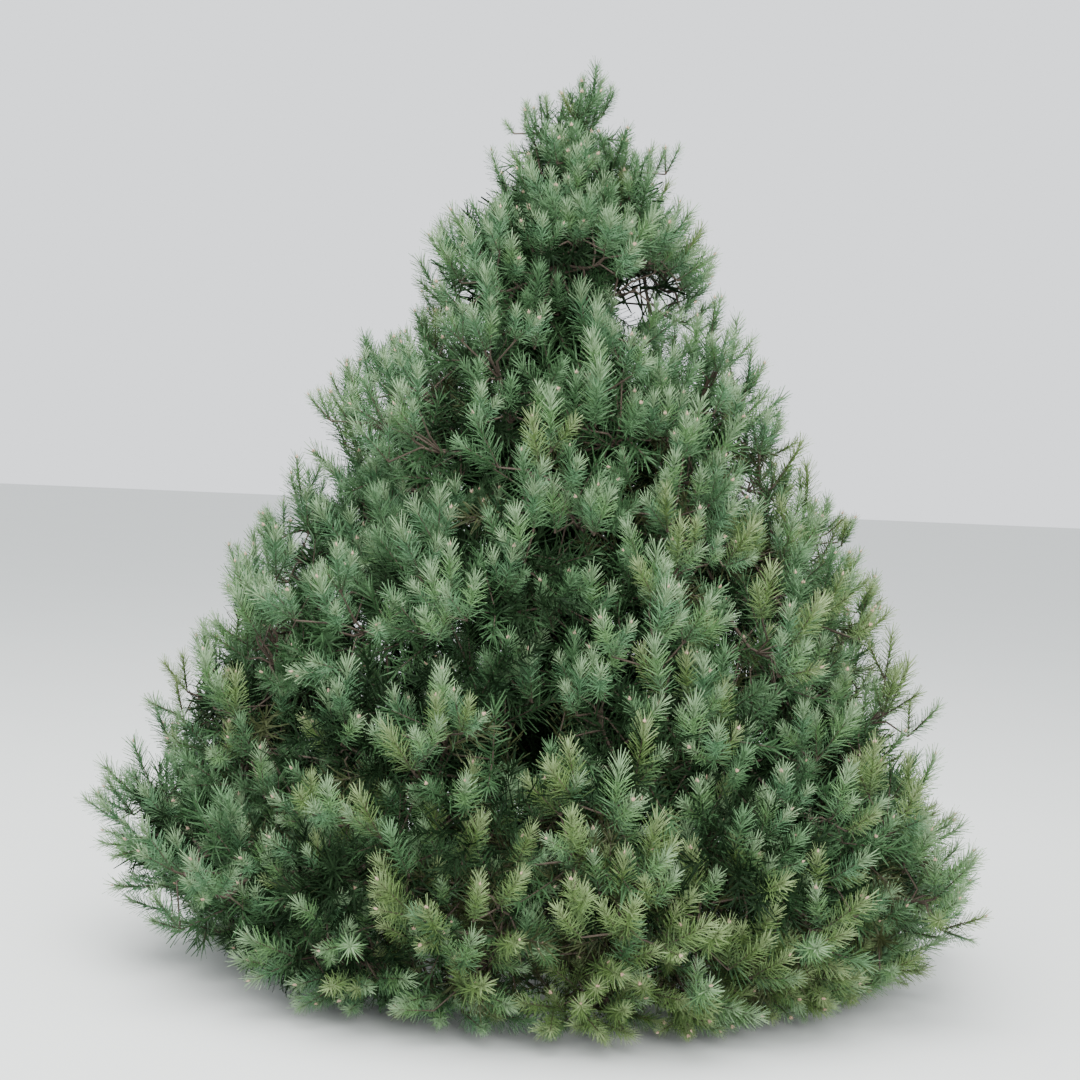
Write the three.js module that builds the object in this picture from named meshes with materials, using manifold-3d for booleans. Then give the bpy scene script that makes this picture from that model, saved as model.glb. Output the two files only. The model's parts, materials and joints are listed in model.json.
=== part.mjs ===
// A young Scots pine, clipped to a dense cone, standing in a plain nursery pot.
// Millimetres, +Z up. The origin is the middle of the pot's underside.
import * as THREE from "three";
import { mergeVertices } from "three/addons/utils/BufferGeometryUtils.js";
import Module from "manifold-3d";

const wasm = await Module();
wasm.setup();

// Driving dimensions
const TREE_HEIGHT = 2420;
const CROWN_RADIUS = 1205;
const POT_HEIGHT = 340;
const POT_RIM_RADIUS = 270;
const POT_FOOT_RADIUS = 215;
const POT_WALL = 5;
const SOIL_LEVEL = POT_HEIGHT - 40;
const TRUNK_RADIUS = 38;
const TRUNK_TIP = 0.885 * TREE_HEIGHT;
const TRUNK_TIP_RADIUS = 6;
const SHOOT_LENGTH = 140;
const SHOOT_RADIUS = 98;
const SHOOTS = 262;

// Clearance between two solids that meet, and round a limb that foliage grows past
const GAP = 0.3;
const CLEAR = 1.5;
const LOWEST_NEEDLE = 24;

const UP = new THREE.Vector3(0, 0, 1);
const LATHE_AXIS = new THREE.Vector3(0, 1, 0);
const FULL_TURN = 2 * Math.PI;
const GOLDEN_ANGLE = Math.PI * (3 - Math.sqrt(5));
const { lerp, smoothstep, clamp } = THREE.MathUtils;

// One repeatable number from 0 to 1 for an index and a channel.
function seeded(index, channel) {
  const wave = Math.sin(index * 12.9898 + channel * 78.233) * 43758.5453;
  return wave - Math.floor(wave);
}

// A repeatable number from -0.5 to 0.5.
function offset(index, channel) {
  return seeded(index, channel) - 0.5;
}

// A closed three.js geometry as a solid: shared corners merged, collapsed faces dropped.
function solidOf(geometry) {
  geometry.deleteAttribute("normal");
  geometry.deleteAttribute("uv");
  const merged = mergeVertices(geometry, 1e-3);
  const corners = merged.index.array;
  const kept = [];
  for (let i = 0; i < corners.length; i += 3) {
    const [a, b, c] = corners.slice(i, i + 3);
    if (a !== b && b !== c && a !== c) kept.push(a, b, c);
  }
  return new wasm.Manifold(
    new wasm.Mesh({
      numProp: 3,
      vertProperties: new Float32Array(merged.attributes.position.array),
      triVerts: new Uint32Array(kept),
    }),
  );
}

// A solid as a three.js geometry, keeping only its largest body.
function geometryOf(solid) {
  const bodies = solid.decompose().sort((a, b) => b.volume() - a.volume());
  const mesh = bodies[0].getMesh();
  const corners = new Float32Array(mesh.vertProperties);
  const geometry = new THREE.BufferGeometry();
  geometry.setAttribute("position", new THREE.BufferAttribute(corners, 3));
  geometry.setIndex(new THREE.BufferAttribute(new Uint32Array(mesh.triVerts), 1));
  return geometry;
}

// A round limb along a curve: a cylinder whose rings are laid on it, with a radius for each share.
function limb(curve, radiusAt, sides, steps) {
  const geometry = new THREE.CylinderGeometry(1, 1, 1, sides, steps);
  const frames = curve.computeFrenetFrames(steps, false);
  const position = geometry.attributes.position;
  const vertex = new THREE.Vector3();
  for (let i = 0; i < position.count; i++) {
    vertex.fromBufferAttribute(position, i);
    const step = Math.round((vertex.y + 0.5) * steps);
    const reach = radiusAt(step / steps, Math.atan2(vertex.z, vertex.x));
    const placed = curve.getPointAt(step / steps);
    placed.addScaledVector(frames.normals[step], vertex.x * reach);
    placed.addScaledVector(frames.binormals[step], -vertex.z * reach);
    position.setXYZ(i, placed.x, placed.y, placed.z);
  }
  return solidOf(geometry);
}

// A straight limb from one point to another.
function straightLimb(from, to, thick, thin, sides) {
  return limb(new THREE.LineCurve3(from, to), (t) => lerp(thick, thin, t), sides, 1);
}

// The crown's outline, from shares of the height to shares of the radius: a clipped cone
// with a hanging skirt, a waist under the head, and the head above it.
const OUTLINE = [
  [0.02, 0.8],
  [0.05, 0.91],
  [0.12, 0.99],
  [0.17, 1.0],
  [0.25, 0.94],
  [0.33, 0.84],
  [0.5, 0.645],
  [0.66, 0.45],
  [0.72, 0.375],
  [0.755, 0.32],
  [0.79, 0.345],
  [0.83, 0.3],
  [0.88, 0.225],
  [0.93, 0.14],
  [0.97, 0.07],
  [1.0, 0.01],
];

// The crown's radius at a height, without the swelling of its sides.
function outlineRadius(height) {
  const share = clamp(height / TREE_HEIGHT, OUTLINE[0][0], 1);
  const upper = Math.max(1, OUTLINE.findIndex(([level]) => level >= share));
  const [lowLevel, lowRadius] = OUTLINE[upper - 1];
  const [highLevel, highRadius] = OUTLINE[upper];
  return lerp(lowRadius, highRadius, (share - lowLevel) / (highLevel - lowLevel)) * CROWN_RADIUS;
}

// The crown's radius at a height and a bearing: its left side is the fuller one low down, and
// three soft lobes wind up it.
const LEFT_SWELL = 0.045;
const LOBE_SWELL = 0.025;
const LOBE_RISE = 260;
function crownRadius(height, bearing) {
  const low = 1 - smoothstep(height, 0.3 * TREE_HEIGHT, 0.6 * TREE_HEIGHT);
  const left = -LEFT_SWELL * low * Math.cos(bearing);
  const lobes = LOBE_SWELL * Math.cos(3 * bearing + height / LOBE_RISE);
  return outlineRadius(height) * (1 + left + lobes);
}

// The trunk's middle line leaves the upright by a few millimetres, as a grown stem does.
const TRUNK_SWAY = 9;
function trunkCentre(height) {
  const rise = clamp((height - SOIL_LEVEL) / (TRUNK_TIP - SOIL_LEVEL), 0, 1);
  const aside = TRUNK_SWAY * Math.sin(7 * rise) * Math.sqrt(rise);
  const back = 0.7 * TRUNK_SWAY * (Math.cos(5.2 * rise) - 1);
  return new THREE.Vector3(aside, back, height);
}

// A point of the crown's outside, with the direction that faces out of it there.
const SLOPE_STEP = 40;
function crownPoint(height, bearing) {
  const radius = crownRadius(height, bearing);
  const fall = outlineRadius(height - SLOPE_STEP) - outlineRadius(height + SLOPE_STEP);
  const slope = clamp(fall / (2 * SLOPE_STEP), -0.2, 1.2);
  const out = new THREE.Vector3(Math.cos(bearing), Math.sin(bearing), slope).normalize();
  const point = trunkCentre(height);
  point.x += radius * Math.cos(bearing);
  point.y += radius * Math.sin(bearing);
  return { point, out };
}

// The whorls of boughs, lowest first: how many, where their foliage is centred, where they
// leave the trunk, and how thick they are there.
const WHORLS = [
  { name: "skirt", count: 8, height: 330, bearing: 0.2, foot: 480, stagger: 120, radius: 15 },
  { name: "low", count: 7, height: 770, bearing: 0.62, foot: 670, stagger: 110, radius: 14 },
  { name: "middle", count: 5, height: 1165, bearing: 0.35, foot: 975, stagger: 90, radius: 12.5 },
  { name: "upper", count: 4, height: 1560, bearing: 1.2, foot: 1320, stagger: 70, radius: 11 },
  { name: "head", count: 3, height: 1990, bearing: 0.5, foot: 1790, stagger: 50, radius: 8 },
];
const HUB_DEPTH = 265;
const HUB_SHARE = 0.5;
const BOUGH_END_DEPTH = 345;
const BOUGH_END_SHARE = 0.72;
const BEARING_PLAY = 0.22;
const HEIGHT_PLAY = 70;
const FOOT_TURN = 0.618;

// Every mass of foliage: the middle of its outside, its hub, and the limb that it grows on.
const masses = [];
for (const whorl of WHORLS) {
  for (let i = 0; i < whorl.count; i++) {
    const seed = masses.length + 1;
    const turn = (i + BEARING_PLAY * offset(seed, 1)) / whorl.count;
    const bearing = whorl.bearing + FULL_TURN * turn;
    const height = whorl.height + HEIGHT_PLAY * offset(seed, 2);
    const { point: site, out } = crownPoint(height, bearing);
    const radius = crownRadius(height, bearing);
    const hubDepth = Math.min(HUB_DEPTH, HUB_SHARE * radius);
    const endDepth = Math.min(BOUGH_END_DEPTH, BOUGH_END_SHARE * radius);
    masses.push({
      name: `${whorl.name}_${i + 1}`,
      whorl,
      bearing,
      site,
      hub: site.clone().addScaledVector(out, -hubDepth),
      end: site.clone().addScaledVector(out, -endDepth),
      foot: whorl.foot + ((i * FOOT_TURN) % 1) * whorl.stagger,
      shoots: [],
    });
  }
}
masses.push({
  name: "leader",
  site: new THREE.Vector3(0, 0, 0.945 * TREE_HEIGHT),
  hub: trunkCentre(TRUNK_TIP + 60),
  end: trunkCentre(TRUNK_TIP),
  shoots: [],
});

// How far a point lies on a mass's own side of the plane midway to one of its neighbours.
function sideOf(point, mass, other) {
  const lead = point.distanceToSquared(other.site) - point.distanceToSquared(mass.site);
  return lead / (2 * other.site.distanceTo(mass.site));
}

// How far a point lies inside a mass's own space, past which its neighbours begin.
function insideSpace(point, mass) {
  const others = masses.filter((other) => other !== mass);
  return Math.min(...others.map((other) => sideOf(point, mass, other)));
}

// The trunk: a lobed root flare at the soil, a slow taper, and a swelling at each whorl.
const TRUNK_SIDES = 10;
const TRUNK_STEPS = 20;
const FLARE_LOBES = 5;
const FLARE_REACH = 20;
const FLARE_LOBE_REACH = 7;
const FLARE_RISE = 55;
const KNOT_RISE = 60;
const KNOT_SWELL = 0.1;
class TrunkLine extends THREE.Curve {
  getPoint(t, target = new THREE.Vector3()) {
    return target.copy(trunkCentre(lerp(SOIL_LEVEL, TRUNK_TIP, t)));
  }
  getPointAt(t, target) {
    return this.getPoint(t, target);
  }
  computeFrenetFrames(steps) {
    const normals = Array.from({ length: steps + 1 }, () => new THREE.Vector3(1, 0, 0));
    const binormals = Array.from({ length: steps + 1 }, () => new THREE.Vector3(0, 1, 0));
    return { normals, binormals };
  }
}
function trunkRadius(share, angle) {
  const height = lerp(SOIL_LEVEL, TRUNK_TIP, share);
  const taper = lerp(TRUNK_RADIUS, TRUNK_TIP_RADIUS, share ** 0.9);
  const lobe = FLARE_LOBE_REACH * Math.cos(FLARE_LOBES * angle);
  const flare = Math.exp((SOIL_LEVEL - height) / FLARE_RISE) * (FLARE_REACH + lobe);
  const knots = WHORLS.map(({ foot, stagger }) => {
    const away = (height - foot - stagger / 2) / KNOT_RISE;
    return Math.exp(-away * away);
  });
  return taper * (1 + KNOT_SWELL * Math.max(...knots)) + flare;
}
function trunkSolid(grown = 0) {
  return limb(new TrunkLine(), (t, angle) => trunkRadius(t, angle) + grown, TRUNK_SIDES, TRUNK_STEPS);
}

// A bough: one tapering limb with a collar at the trunk. The skirt's boughs arch over, and the
// others dip before they rise.
const BOUGH_SIDES = 5;
const BOUGH_STEPS = 3;
const BOUGH_TAPER = 0.55;
const BOUGH_BEND = 0.42;
const BOUGH_BOW = 0.05;
const COLLAR_SWELL = 0.3;
const COLLAR_FADE = 9;
function boughCurve(mass) {
  const foot = trunkCentre(mass.foot);
  const run = mass.end.clone().sub(foot);
  const bend = foot.clone().addScaledVector(run, BOUGH_BEND);
  bend.z += BOUGH_BOW * Math.hypot(run.x, run.y) * (mass.whorl.name === "skirt" ? 1 : -1);
  return new THREE.QuadraticBezierCurve3(foot, bend, mass.end.clone());
}
function boughRadius(mass, share) {
  const collar = 1 + COLLAR_SWELL * Math.exp(-COLLAR_FADE * share);
  return mass.whorl.radius * lerp(1, BOUGH_TAPER, share) * collar;
}
function boughSolid(mass, grown = 0) {
  return limb(boughCurve(mass), (t) => boughRadius(mass, t) + grown, BOUGH_SIDES, BOUGH_STEPS);
}

const trunk = trunkSolid();
const trunkWithGap = trunkSolid(GAP + 0.1);
const grownLimbs = [trunkSolid(CLEAR)];
for (const mass of masses) {
  if (mass.whorl) {
    mass.bough = boughSolid(mass).subtract(trunkWithGap);
    mass.along = boughCurve(mass).getTangentAt(1);
    mass.stemRadius = boughRadius(mass, 1);
    grownLimbs.push(boughSolid(mass, CLEAR));
  } else {
    mass.along = UP.clone();
    mass.stemRadius = TRUNK_TIP_RADIUS;
  }
}
const allLimbs = wasm.Manifold.union(grownLimbs);

// How far the foliage falls back from the crown's outside towards the edge of its mass.
const RELIEF = 50;
const RELIEF_RUN = 130;
function recess(point, mass) {
  return RELIEF * (1 - smoothstep(insideSpace(point, mass), 0, RELIEF_RUN));
}

// The heights of the shoots, so that every part of the crown's outside gets its even share.
const LOWEST_SHOOT = 0.04 * TREE_HEIGHT;
const AREA_STEPS = 400;
function shootHeights() {
  const rise = (TREE_HEIGHT - LOWEST_SHOOT) / AREA_STEPS;
  const areas = [0];
  for (let i = 0; i < AREA_STEPS; i++) {
    const height = LOWEST_SHOOT + (i + 0.5) * rise;
    const slope = (outlineRadius(height + rise) - outlineRadius(height - rise)) / (2 * rise);
    areas.push(areas[i] + outlineRadius(height) * Math.hypot(1, slope));
  }
  return Array.from({ length: SHOOTS }, (_, k) => {
    const wanted = ((k + 0.5) / SHOOTS) * areas[AREA_STEPS];
    const upper = areas.findIndex((area) => area >= wanted);
    const part = (wanted - areas[upper - 1]) / (areas[upper] - areas[upper - 1]);
    return LOWEST_SHOOT + (upper - 1 + part) * rise;
  });
}

// The shoots wind up the crown by the golden angle, and each goes to the mass it lies nearest
// to. They stand steeper towards the top, and are smaller in the head.
const SPIRAL_START = 0.9;
const SPIRAL_PLAY = 0.12;
const TURN_PLAY = 0.7;
const RISE_LOW = 0.35;
const RISE_HIGH = 1.1;
const RISE_PLAY = 0.5;
const TIP_PLAY = 26;
const SMALLEST_SHOOT = 0.92;
const SIZE_PLAY = 0.22;
const HEAD_FOOT = 0.76 * TREE_HEIGHT;
const HEAD_SHOOT_SIZE = 0.92;
shootHeights().forEach((height, k) => {
  const bearing = k * GOLDEN_ANGLE + SPIRAL_START + SPIRAL_PLAY * offset(k, 3);
  const { point, out } = crownPoint(height, bearing);
  const away = (mass) => mass.site.distanceToSquared(point);
  const mass = masses.reduce((best, other) => (away(other) < away(best) ? other : best));
  const rise = lerp(RISE_LOW, RISE_HIGH, height / TREE_HEIGHT) + RISE_PLAY * offset(k, 4);
  const heading = bearing + TURN_PLAY * offset(k, 5);
  const along = new THREE.Vector3(Math.cos(heading), Math.sin(heading), rise).normalize();
  const tip = point.clone().addScaledVector(out, -recess(point, mass) - TIP_PLAY * seeded(k, 6));
  const size = (SMALLEST_SHOOT + SIZE_PLAY * seeded(k, 8)) * (height < HEAD_FOOT ? 1 : HEAD_SHOOT_SIZE);
  mass.shoots.push({ tip, along, size, spin: FULL_TURN * seeded(k, 7) });
});

// The leading shoot stands upright at the very top.
const leader = masses.at(-1);
leader.shoots.unshift({
  tip: trunkCentre(TRUNK_TIP).setZ(TREE_HEIGHT),
  along: UP.clone(),
  size: HEAD_SHOOT_SIZE,
  spin: 0,
});

// A twig and the shoot at its end, as one lathe: the twig's rings close to three corners, and
// the shoot is a slim brush with a ring of needle points standing out of it.
const SHOOT_TEETH = 4;
const TEETH_RISE = 0.66;
const VALLEY_SHARE = 0.4;
const VALLEY_RISE = 0.62;
const TWIG_RADIUS = 6;
const NECK_RADIUS = 4;
function shootSolid(root, base, along, size, spin) {
  const twigWay = base.clone().sub(root).normalize();
  const length = SHOOT_LENGTH * size;
  const rings = [
    { centre: root, axis: twigWay, radius: 0, rise: 0, corners: 1 },
    { centre: root, axis: twigWay, radius: TWIG_RADIUS, rise: 0, corners: 3 },
    { centre: base, axis: along, radius: NECK_RADIUS, rise: 0, corners: 3 },
    { centre: base, axis: along, radius: SHOOT_RADIUS * size, rise: TEETH_RISE * length, toothed: true },
    { centre: base, axis: along, radius: 0, rise: length },
  ];
  const profile = rings.map((ring, level) => new THREE.Vector2(1, level));
  const geometry = new THREE.LatheGeometry(profile, 2 * SHOOT_TEETH);
  const position = geometry.attributes.position;
  const placed = new THREE.Vector3();
  const tilt = new THREE.Quaternion();
  for (let i = 0; i < position.count; i++) {
    const ring = rings[Math.round(position.getY(i))];
    const turn = Math.atan2(position.getX(i), position.getZ(i)) / FULL_TURN + 1;
    const valley = ring.toothed && Math.round(turn * 2 * SHOOT_TEETH) % 2;
    const angle = FULL_TURN * (ring.corners ? Math.round(turn * ring.corners) / ring.corners : turn) + spin;
    const reach = ring.radius * (valley ? VALLEY_SHARE : 1);
    placed.set(reach * Math.sin(angle), ring.rise * (valley ? VALLEY_RISE : 1), reach * Math.cos(angle));
    placed.applyQuaternion(tilt.setFromUnitVectors(LATHE_AXIS, ring.axis)).add(ring.centre);
    position.setXYZ(i, placed.x, placed.y, placed.z);
  }
  return solidOf(geometry);
}

// Whether a piece keeps to its mass's own space and clear of every limb.
function keepsClear(solid, mass) {
  const { vertProperties, numProp } = solid.getMesh();
  const corner = new THREE.Vector3();
  for (let i = 0; i < vertProperties.length; i += numProp) {
    corner.set(vertProperties[i], vertProperties[i + 1], vertProperties[i + 2]);
    if (insideSpace(corner, mass) < CLEAR || corner.z < LOWEST_NEEDLE) return false;
  }
  return solid.intersect(allLimbs).isEmpty();
}

// The dense heart of a mass, which the shoots stand out of: a pillow that follows the crown
// and fills most of the mass's own space. Its rings spread from the middle of its outside.
const HEART_DEPTH = 180;
const HEART_BACK = 330;
const HEART_EDGE = 6;
const HEART_SIDES = 10;
const HEART_RINGS = 4;
const HEART_STEP = 6;
const HEART_WIDEST = 620;
const HEART_CURVE = 1.8;
const HEART_ROUNDING = 0.45;
const HEART_FULL_RADIUS = 560;
const HEART_CLIMB = 0.85;
const LOWEST_HEART = 95;
function heartPoint(mass, around, reach, depth) {
  const radius = crownRadius(mass.site.z, mass.bearing);
  const height = mass.site.z + HEART_CLIMB * reach * Math.sin(around);
  const bearing = mass.bearing + (reach * Math.cos(around)) / radius;
  const { point, out } = crownPoint(height, bearing);
  return point.addScaledVector(out, -depth * clamp(radius / HEART_FULL_RADIUS, 0.6, 1));
}
function heartSolid(mass) {
  const geometry = new THREE.SphereGeometry(1, HEART_SIDES, HEART_RINGS);
  const position = geometry.attributes.position;
  const fits = (point) => insideSpace(point, mass) > HEART_EDGE && point.z > LOWEST_HEART;
  for (let i = 0; i < position.count; i++) {
    const level = Math.acos(clamp(position.getY(i), -1, 1)) / Math.PI;
    const around = Math.atan2(-position.getZ(i), position.getX(i));
    const depth = lerp(HEART_DEPTH, HEART_BACK, level ** HEART_CURVE);
    const atPole = level < 0.01 || level > 0.99;
    const spread = atPole ? 0 : Math.sin(level * Math.PI) ** HEART_ROUNDING;
    let rim = 0;
    while (rim < HEART_WIDEST && fits(heartPoint(mass, around, rim + HEART_STEP, depth))) rim += HEART_STEP;
    const placed = heartPoint(mass, around, spread * rim, depth);
    position.setXYZ(i, placed.x, placed.y, placed.z);
  }
  return solidOf(geometry).subtract(allLimbs);
}

// The stem of a mass forks at its hub into a middle axis and one to each side, inside the heart.
const AXIS_SPREAD = 0.36;
const AXIS_DEPTH = 222;
const SIDE_AXIS_DEPTH = 262;
const HEAD_AXIS_SHARE = 0.45;
function axesOf(mass) {
  if (!mass.whorl || mass.whorl.name === "head") return [mass.hub.clone().lerp(mass.site, HEAD_AXIS_SHARE)];
  return [-1, 0, 1].map((side) => {
    const bearing = mass.bearing + (side * AXIS_SPREAD * FULL_TURN) / mass.whorl.count;
    const { point, out } = crownPoint(mass.site.z, bearing);
    return point.addScaledVector(out, side ? -SIDE_AXIS_DEPTH : -AXIS_DEPTH);
  });
}

// Where a twig leaves its axis on its way to the shoot: at a slant, or from the axis's ends.
const TWIG_SLANT = 0.4;
function twigRoot(mass, axes, target) {
  const roots = axes.map((end) => {
    const run = end.clone().sub(mass.hub);
    const length = run.length();
    const way = run.divideScalar(length);
    const across = target.clone().sub(mass.hub);
    const ahead = across.dot(way);
    const aside = across.addScaledVector(way, -ahead).length();
    return mass.hub.clone().addScaledVector(way, clamp(ahead - TWIG_SLANT * aside, 0, 0.9 * length));
  });
  return roots.reduce((best, root) => (root.distanceTo(target) < best.distanceTo(target) ? root : best));
}

// A shoot in its place, or drawn in towards the hub and made smaller until it keeps clear.
const TRIES = 8;
const DRAWN_IN = 0.045;
const SHRUNK = 0.05;
function fittedShoot(mass, axes, shoot) {
  for (let tries = 0; tries < TRIES; tries++) {
    const size = shoot.size * (1 - SHRUNK * tries);
    const tip = shoot.tip.clone().lerp(mass.hub, DRAWN_IN * tries);
    const base = tip.addScaledVector(shoot.along, -SHOOT_LENGTH * size);
    const solid = shootSolid(twigRoot(mass, axes, base), base, shoot.along, size, shoot.spin);
    if (keepsClear(solid, mass)) return [solid];
  }
  return [];
}

// A mass of foliage: stem, axes and heart, and a twig with its shoot for each place dealt to it.
function massSolid(mass) {
  const start = mass.end.clone().addScaledVector(mass.along, GAP);
  const bend = start.clone().addScaledVector(mass.along, 0.5 * start.distanceTo(mass.hub));
  const stem = new THREE.QuadraticBezierCurve3(start, bend, mass.hub);
  const axisRadius = 0.8 * mass.stemRadius;
  const axes = axesOf(mass);
  return wasm.Manifold.union([
    limb(stem, (t) => lerp(mass.stemRadius, axisRadius, t), BOUGH_SIDES, 2),
    ...axes.map((end) => straightLimb(mass.hub, end, axisRadius, NECK_RADIUS, 3)),
    ...(mass.whorl ? [heartSolid(mass)] : []),
    ...mass.shoots.flatMap((shoot) => fittedShoot(mass, axes, shoot)),
  ]);
}

// A round piece turned from a profile of radius and height.
const POT_SIDES = 24;
function turnedSolid(profile) {
  const points = profile.map(([radius, height]) => new THREE.Vector2(radius, height));
  return solidOf(new THREE.LatheGeometry(points, POT_SIDES).rotateX(Math.PI / 2));
}

// The pot: a tapered plastic wall with a rolled rim and a closed floor.
const RIM_HEIGHT = 22;
const RIM_OUT = 9;
function potSlope(height) {
  return lerp(POT_FOOT_RADIUS, POT_RIM_RADIUS - RIM_OUT, height / POT_HEIGHT);
}
function potSolid() {
  return turnedSolid([
    [0, 0],
    [POT_FOOT_RADIUS, 0],
    [potSlope(POT_HEIGHT - RIM_HEIGHT), POT_HEIGHT - RIM_HEIGHT],
    [POT_RIM_RADIUS - 2, POT_HEIGHT - RIM_HEIGHT],
    [POT_RIM_RADIUS, POT_HEIGHT - 4],
    [POT_RIM_RADIUS - 3, POT_HEIGHT],
    [potSlope(POT_HEIGHT) - POT_WALL, POT_HEIGHT],
    [potSlope(POT_WALL) - POT_WALL, POT_WALL],
    [0, POT_WALL],
  ]);
}

// The root ball and compost that fill the pot, level at the foot of the trunk.
function soilSolid() {
  const inner = (height) => potSlope(height) - POT_WALL - 2 * GAP;
  return turnedSolid([
    [0, POT_WALL],
    [inner(POT_WALL), POT_WALL],
    [inner(SOIL_LEVEL - 6), SOIL_LEVEL - 6],
    [inner(SOIL_LEVEL) - 14, SOIL_LEVEL],
    [0, SOIL_LEVEL],
  ]);
}

const plastic = new THREE.MeshStandardMaterial({ color: 0x26282a, roughness: 0.62, metalness: 0 });
const compost = new THREE.MeshStandardMaterial({ color: 0x3a2a1e, roughness: 0.98, metalness: 0 });
const bark = new THREE.MeshStandardMaterial({ color: 0x6b5140, roughness: 0.92, metalness: 0 });
const needles = new THREE.MeshStandardMaterial({ color: 0x4c6b56, roughness: 0.7, metalness: 0 });

const tree = new THREE.Group();
function addPart(name, solid, material) {
  const mesh = new THREE.Mesh(geometryOf(solid), material);
  mesh.name = name;
  tree.add(mesh);
}

addPart("pot", potSolid(), plastic);
addPart("soil", soilSolid(), compost);
addPart("trunk", trunk, bark);
for (const mass of masses) {
  if (mass.bough) addPart(`bough_${mass.name}`, mass.bough, bark);
  addPart(`foliage_${mass.name}`, massSolid(mass), needles);
}

export default tree;
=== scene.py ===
# A young Scots pine, grown to a dense cone and standing in a plain nursery pot. The solids give
# the sizes and places; here the tree gets its bark, twigs, needles and buds. Metres, +Z up, with
# the origin under the middle of the pot.
import json
from math import atan2, cos, exp, floor, hypot, pi, radians, sin, sqrt, tau
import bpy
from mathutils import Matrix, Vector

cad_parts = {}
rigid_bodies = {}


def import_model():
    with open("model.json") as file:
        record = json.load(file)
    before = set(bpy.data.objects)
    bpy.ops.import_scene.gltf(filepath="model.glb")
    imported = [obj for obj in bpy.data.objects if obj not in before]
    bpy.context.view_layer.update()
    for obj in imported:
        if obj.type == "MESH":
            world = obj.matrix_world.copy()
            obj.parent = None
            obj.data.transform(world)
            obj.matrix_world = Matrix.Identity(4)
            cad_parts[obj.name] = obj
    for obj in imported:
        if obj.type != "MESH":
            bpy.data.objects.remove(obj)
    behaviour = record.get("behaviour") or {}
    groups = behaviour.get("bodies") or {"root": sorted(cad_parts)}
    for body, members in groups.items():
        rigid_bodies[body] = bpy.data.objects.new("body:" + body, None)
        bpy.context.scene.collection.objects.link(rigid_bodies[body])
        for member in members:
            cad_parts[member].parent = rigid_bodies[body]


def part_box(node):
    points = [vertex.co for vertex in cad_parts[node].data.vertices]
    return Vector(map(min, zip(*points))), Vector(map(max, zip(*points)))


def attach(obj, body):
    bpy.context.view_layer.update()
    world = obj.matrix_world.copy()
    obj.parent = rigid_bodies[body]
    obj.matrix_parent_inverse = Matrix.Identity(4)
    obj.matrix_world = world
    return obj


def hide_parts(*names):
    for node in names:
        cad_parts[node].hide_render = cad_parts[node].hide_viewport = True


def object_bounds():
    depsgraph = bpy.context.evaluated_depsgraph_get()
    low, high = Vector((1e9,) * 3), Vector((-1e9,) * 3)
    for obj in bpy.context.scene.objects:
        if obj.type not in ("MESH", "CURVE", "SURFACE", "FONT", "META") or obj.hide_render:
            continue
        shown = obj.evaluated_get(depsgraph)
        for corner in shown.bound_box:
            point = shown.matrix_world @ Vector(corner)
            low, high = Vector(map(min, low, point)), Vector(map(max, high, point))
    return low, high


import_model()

from types import SimpleNamespace

import bmesh
import bpy
from mathutils import Quaternion, Vector

cad_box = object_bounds()


# The view
# The tree is seen from six metres off at eye height, with a lens a little longer than normal.
# The view looks slightly down and is turned a little, so that the tree leans right in it.
EYE = Vector((-0.054, -6.0, 1.48))
LENS_MM = 73.5
LOOK_DOWN = radians(3.24)
TURNED_LEFT = radians(2.4)

camera = bpy.data.objects.new("view", bpy.data.cameras.new("view"))
bpy.context.collection.objects.link(camera)
camera.data.lens = LENS_MM
camera.location = EYE
camera.rotation_mode = "QUATERNION"
look = Vector((0, cos(LOOK_DOWN), -sin(LOOK_DOWN)))
camera.rotation_quaternion = look.to_track_quat("-Z", "Y") @ Quaternion((0, 0, 1), TURNED_LEFT)
bpy.context.scene.camera = camera


# The studio
# A plain pale floor under an even white sky, with one broad soft light overhead and a weaker
# one beside the view, like a bright overcast day.
FLOOR_SIZE = 60.0
FLOOR_COLOUR = (0.62, 0.64, 0.62, 1)
FLOOR_MOTTLE = (0.60, 0.62, 0.60, 1)
SKY_COLOUR = (0.93, 0.96, 1.0, 1)
SKY_STRENGTH = 1.65
LIGHT_AIM = Vector((0, 0, 1.2))
TOP_LIGHT = {"size": 7.0, "power": 1400, "place": (-0.8, -1.6, 7.0)}
SIDE_LIGHT = {"size": 4.0, "power": 450, "place": (1.5, -7.0, 3.4)}


def math_operator(operation, reflected=False):
    """An operator of Wire, which adds the Math node of an operation to the wire's tree."""
    def operator(wire, other):
        return wire.nodes.math(operation, *((other, wire) if reflected else (wire, other)))
    return operator


class Wire:
    """A node's output; sums written on it add Math nodes to its tree."""

    def __init__(self, nodes, socket):
        self.nodes = nodes
        self.socket = socket

    __add__ = __radd__ = math_operator("ADD")
    __mul__ = __rmul__ = math_operator("MULTIPLY")
    __sub__ = math_operator("SUBTRACT")
    __rsub__ = math_operator("SUBTRACT", reflected=True)
    __truediv__ = math_operator("DIVIDE")
    __rtruediv__ = math_operator("DIVIDE", reflected=True)
    __pow__ = math_operator("POWER")


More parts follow.
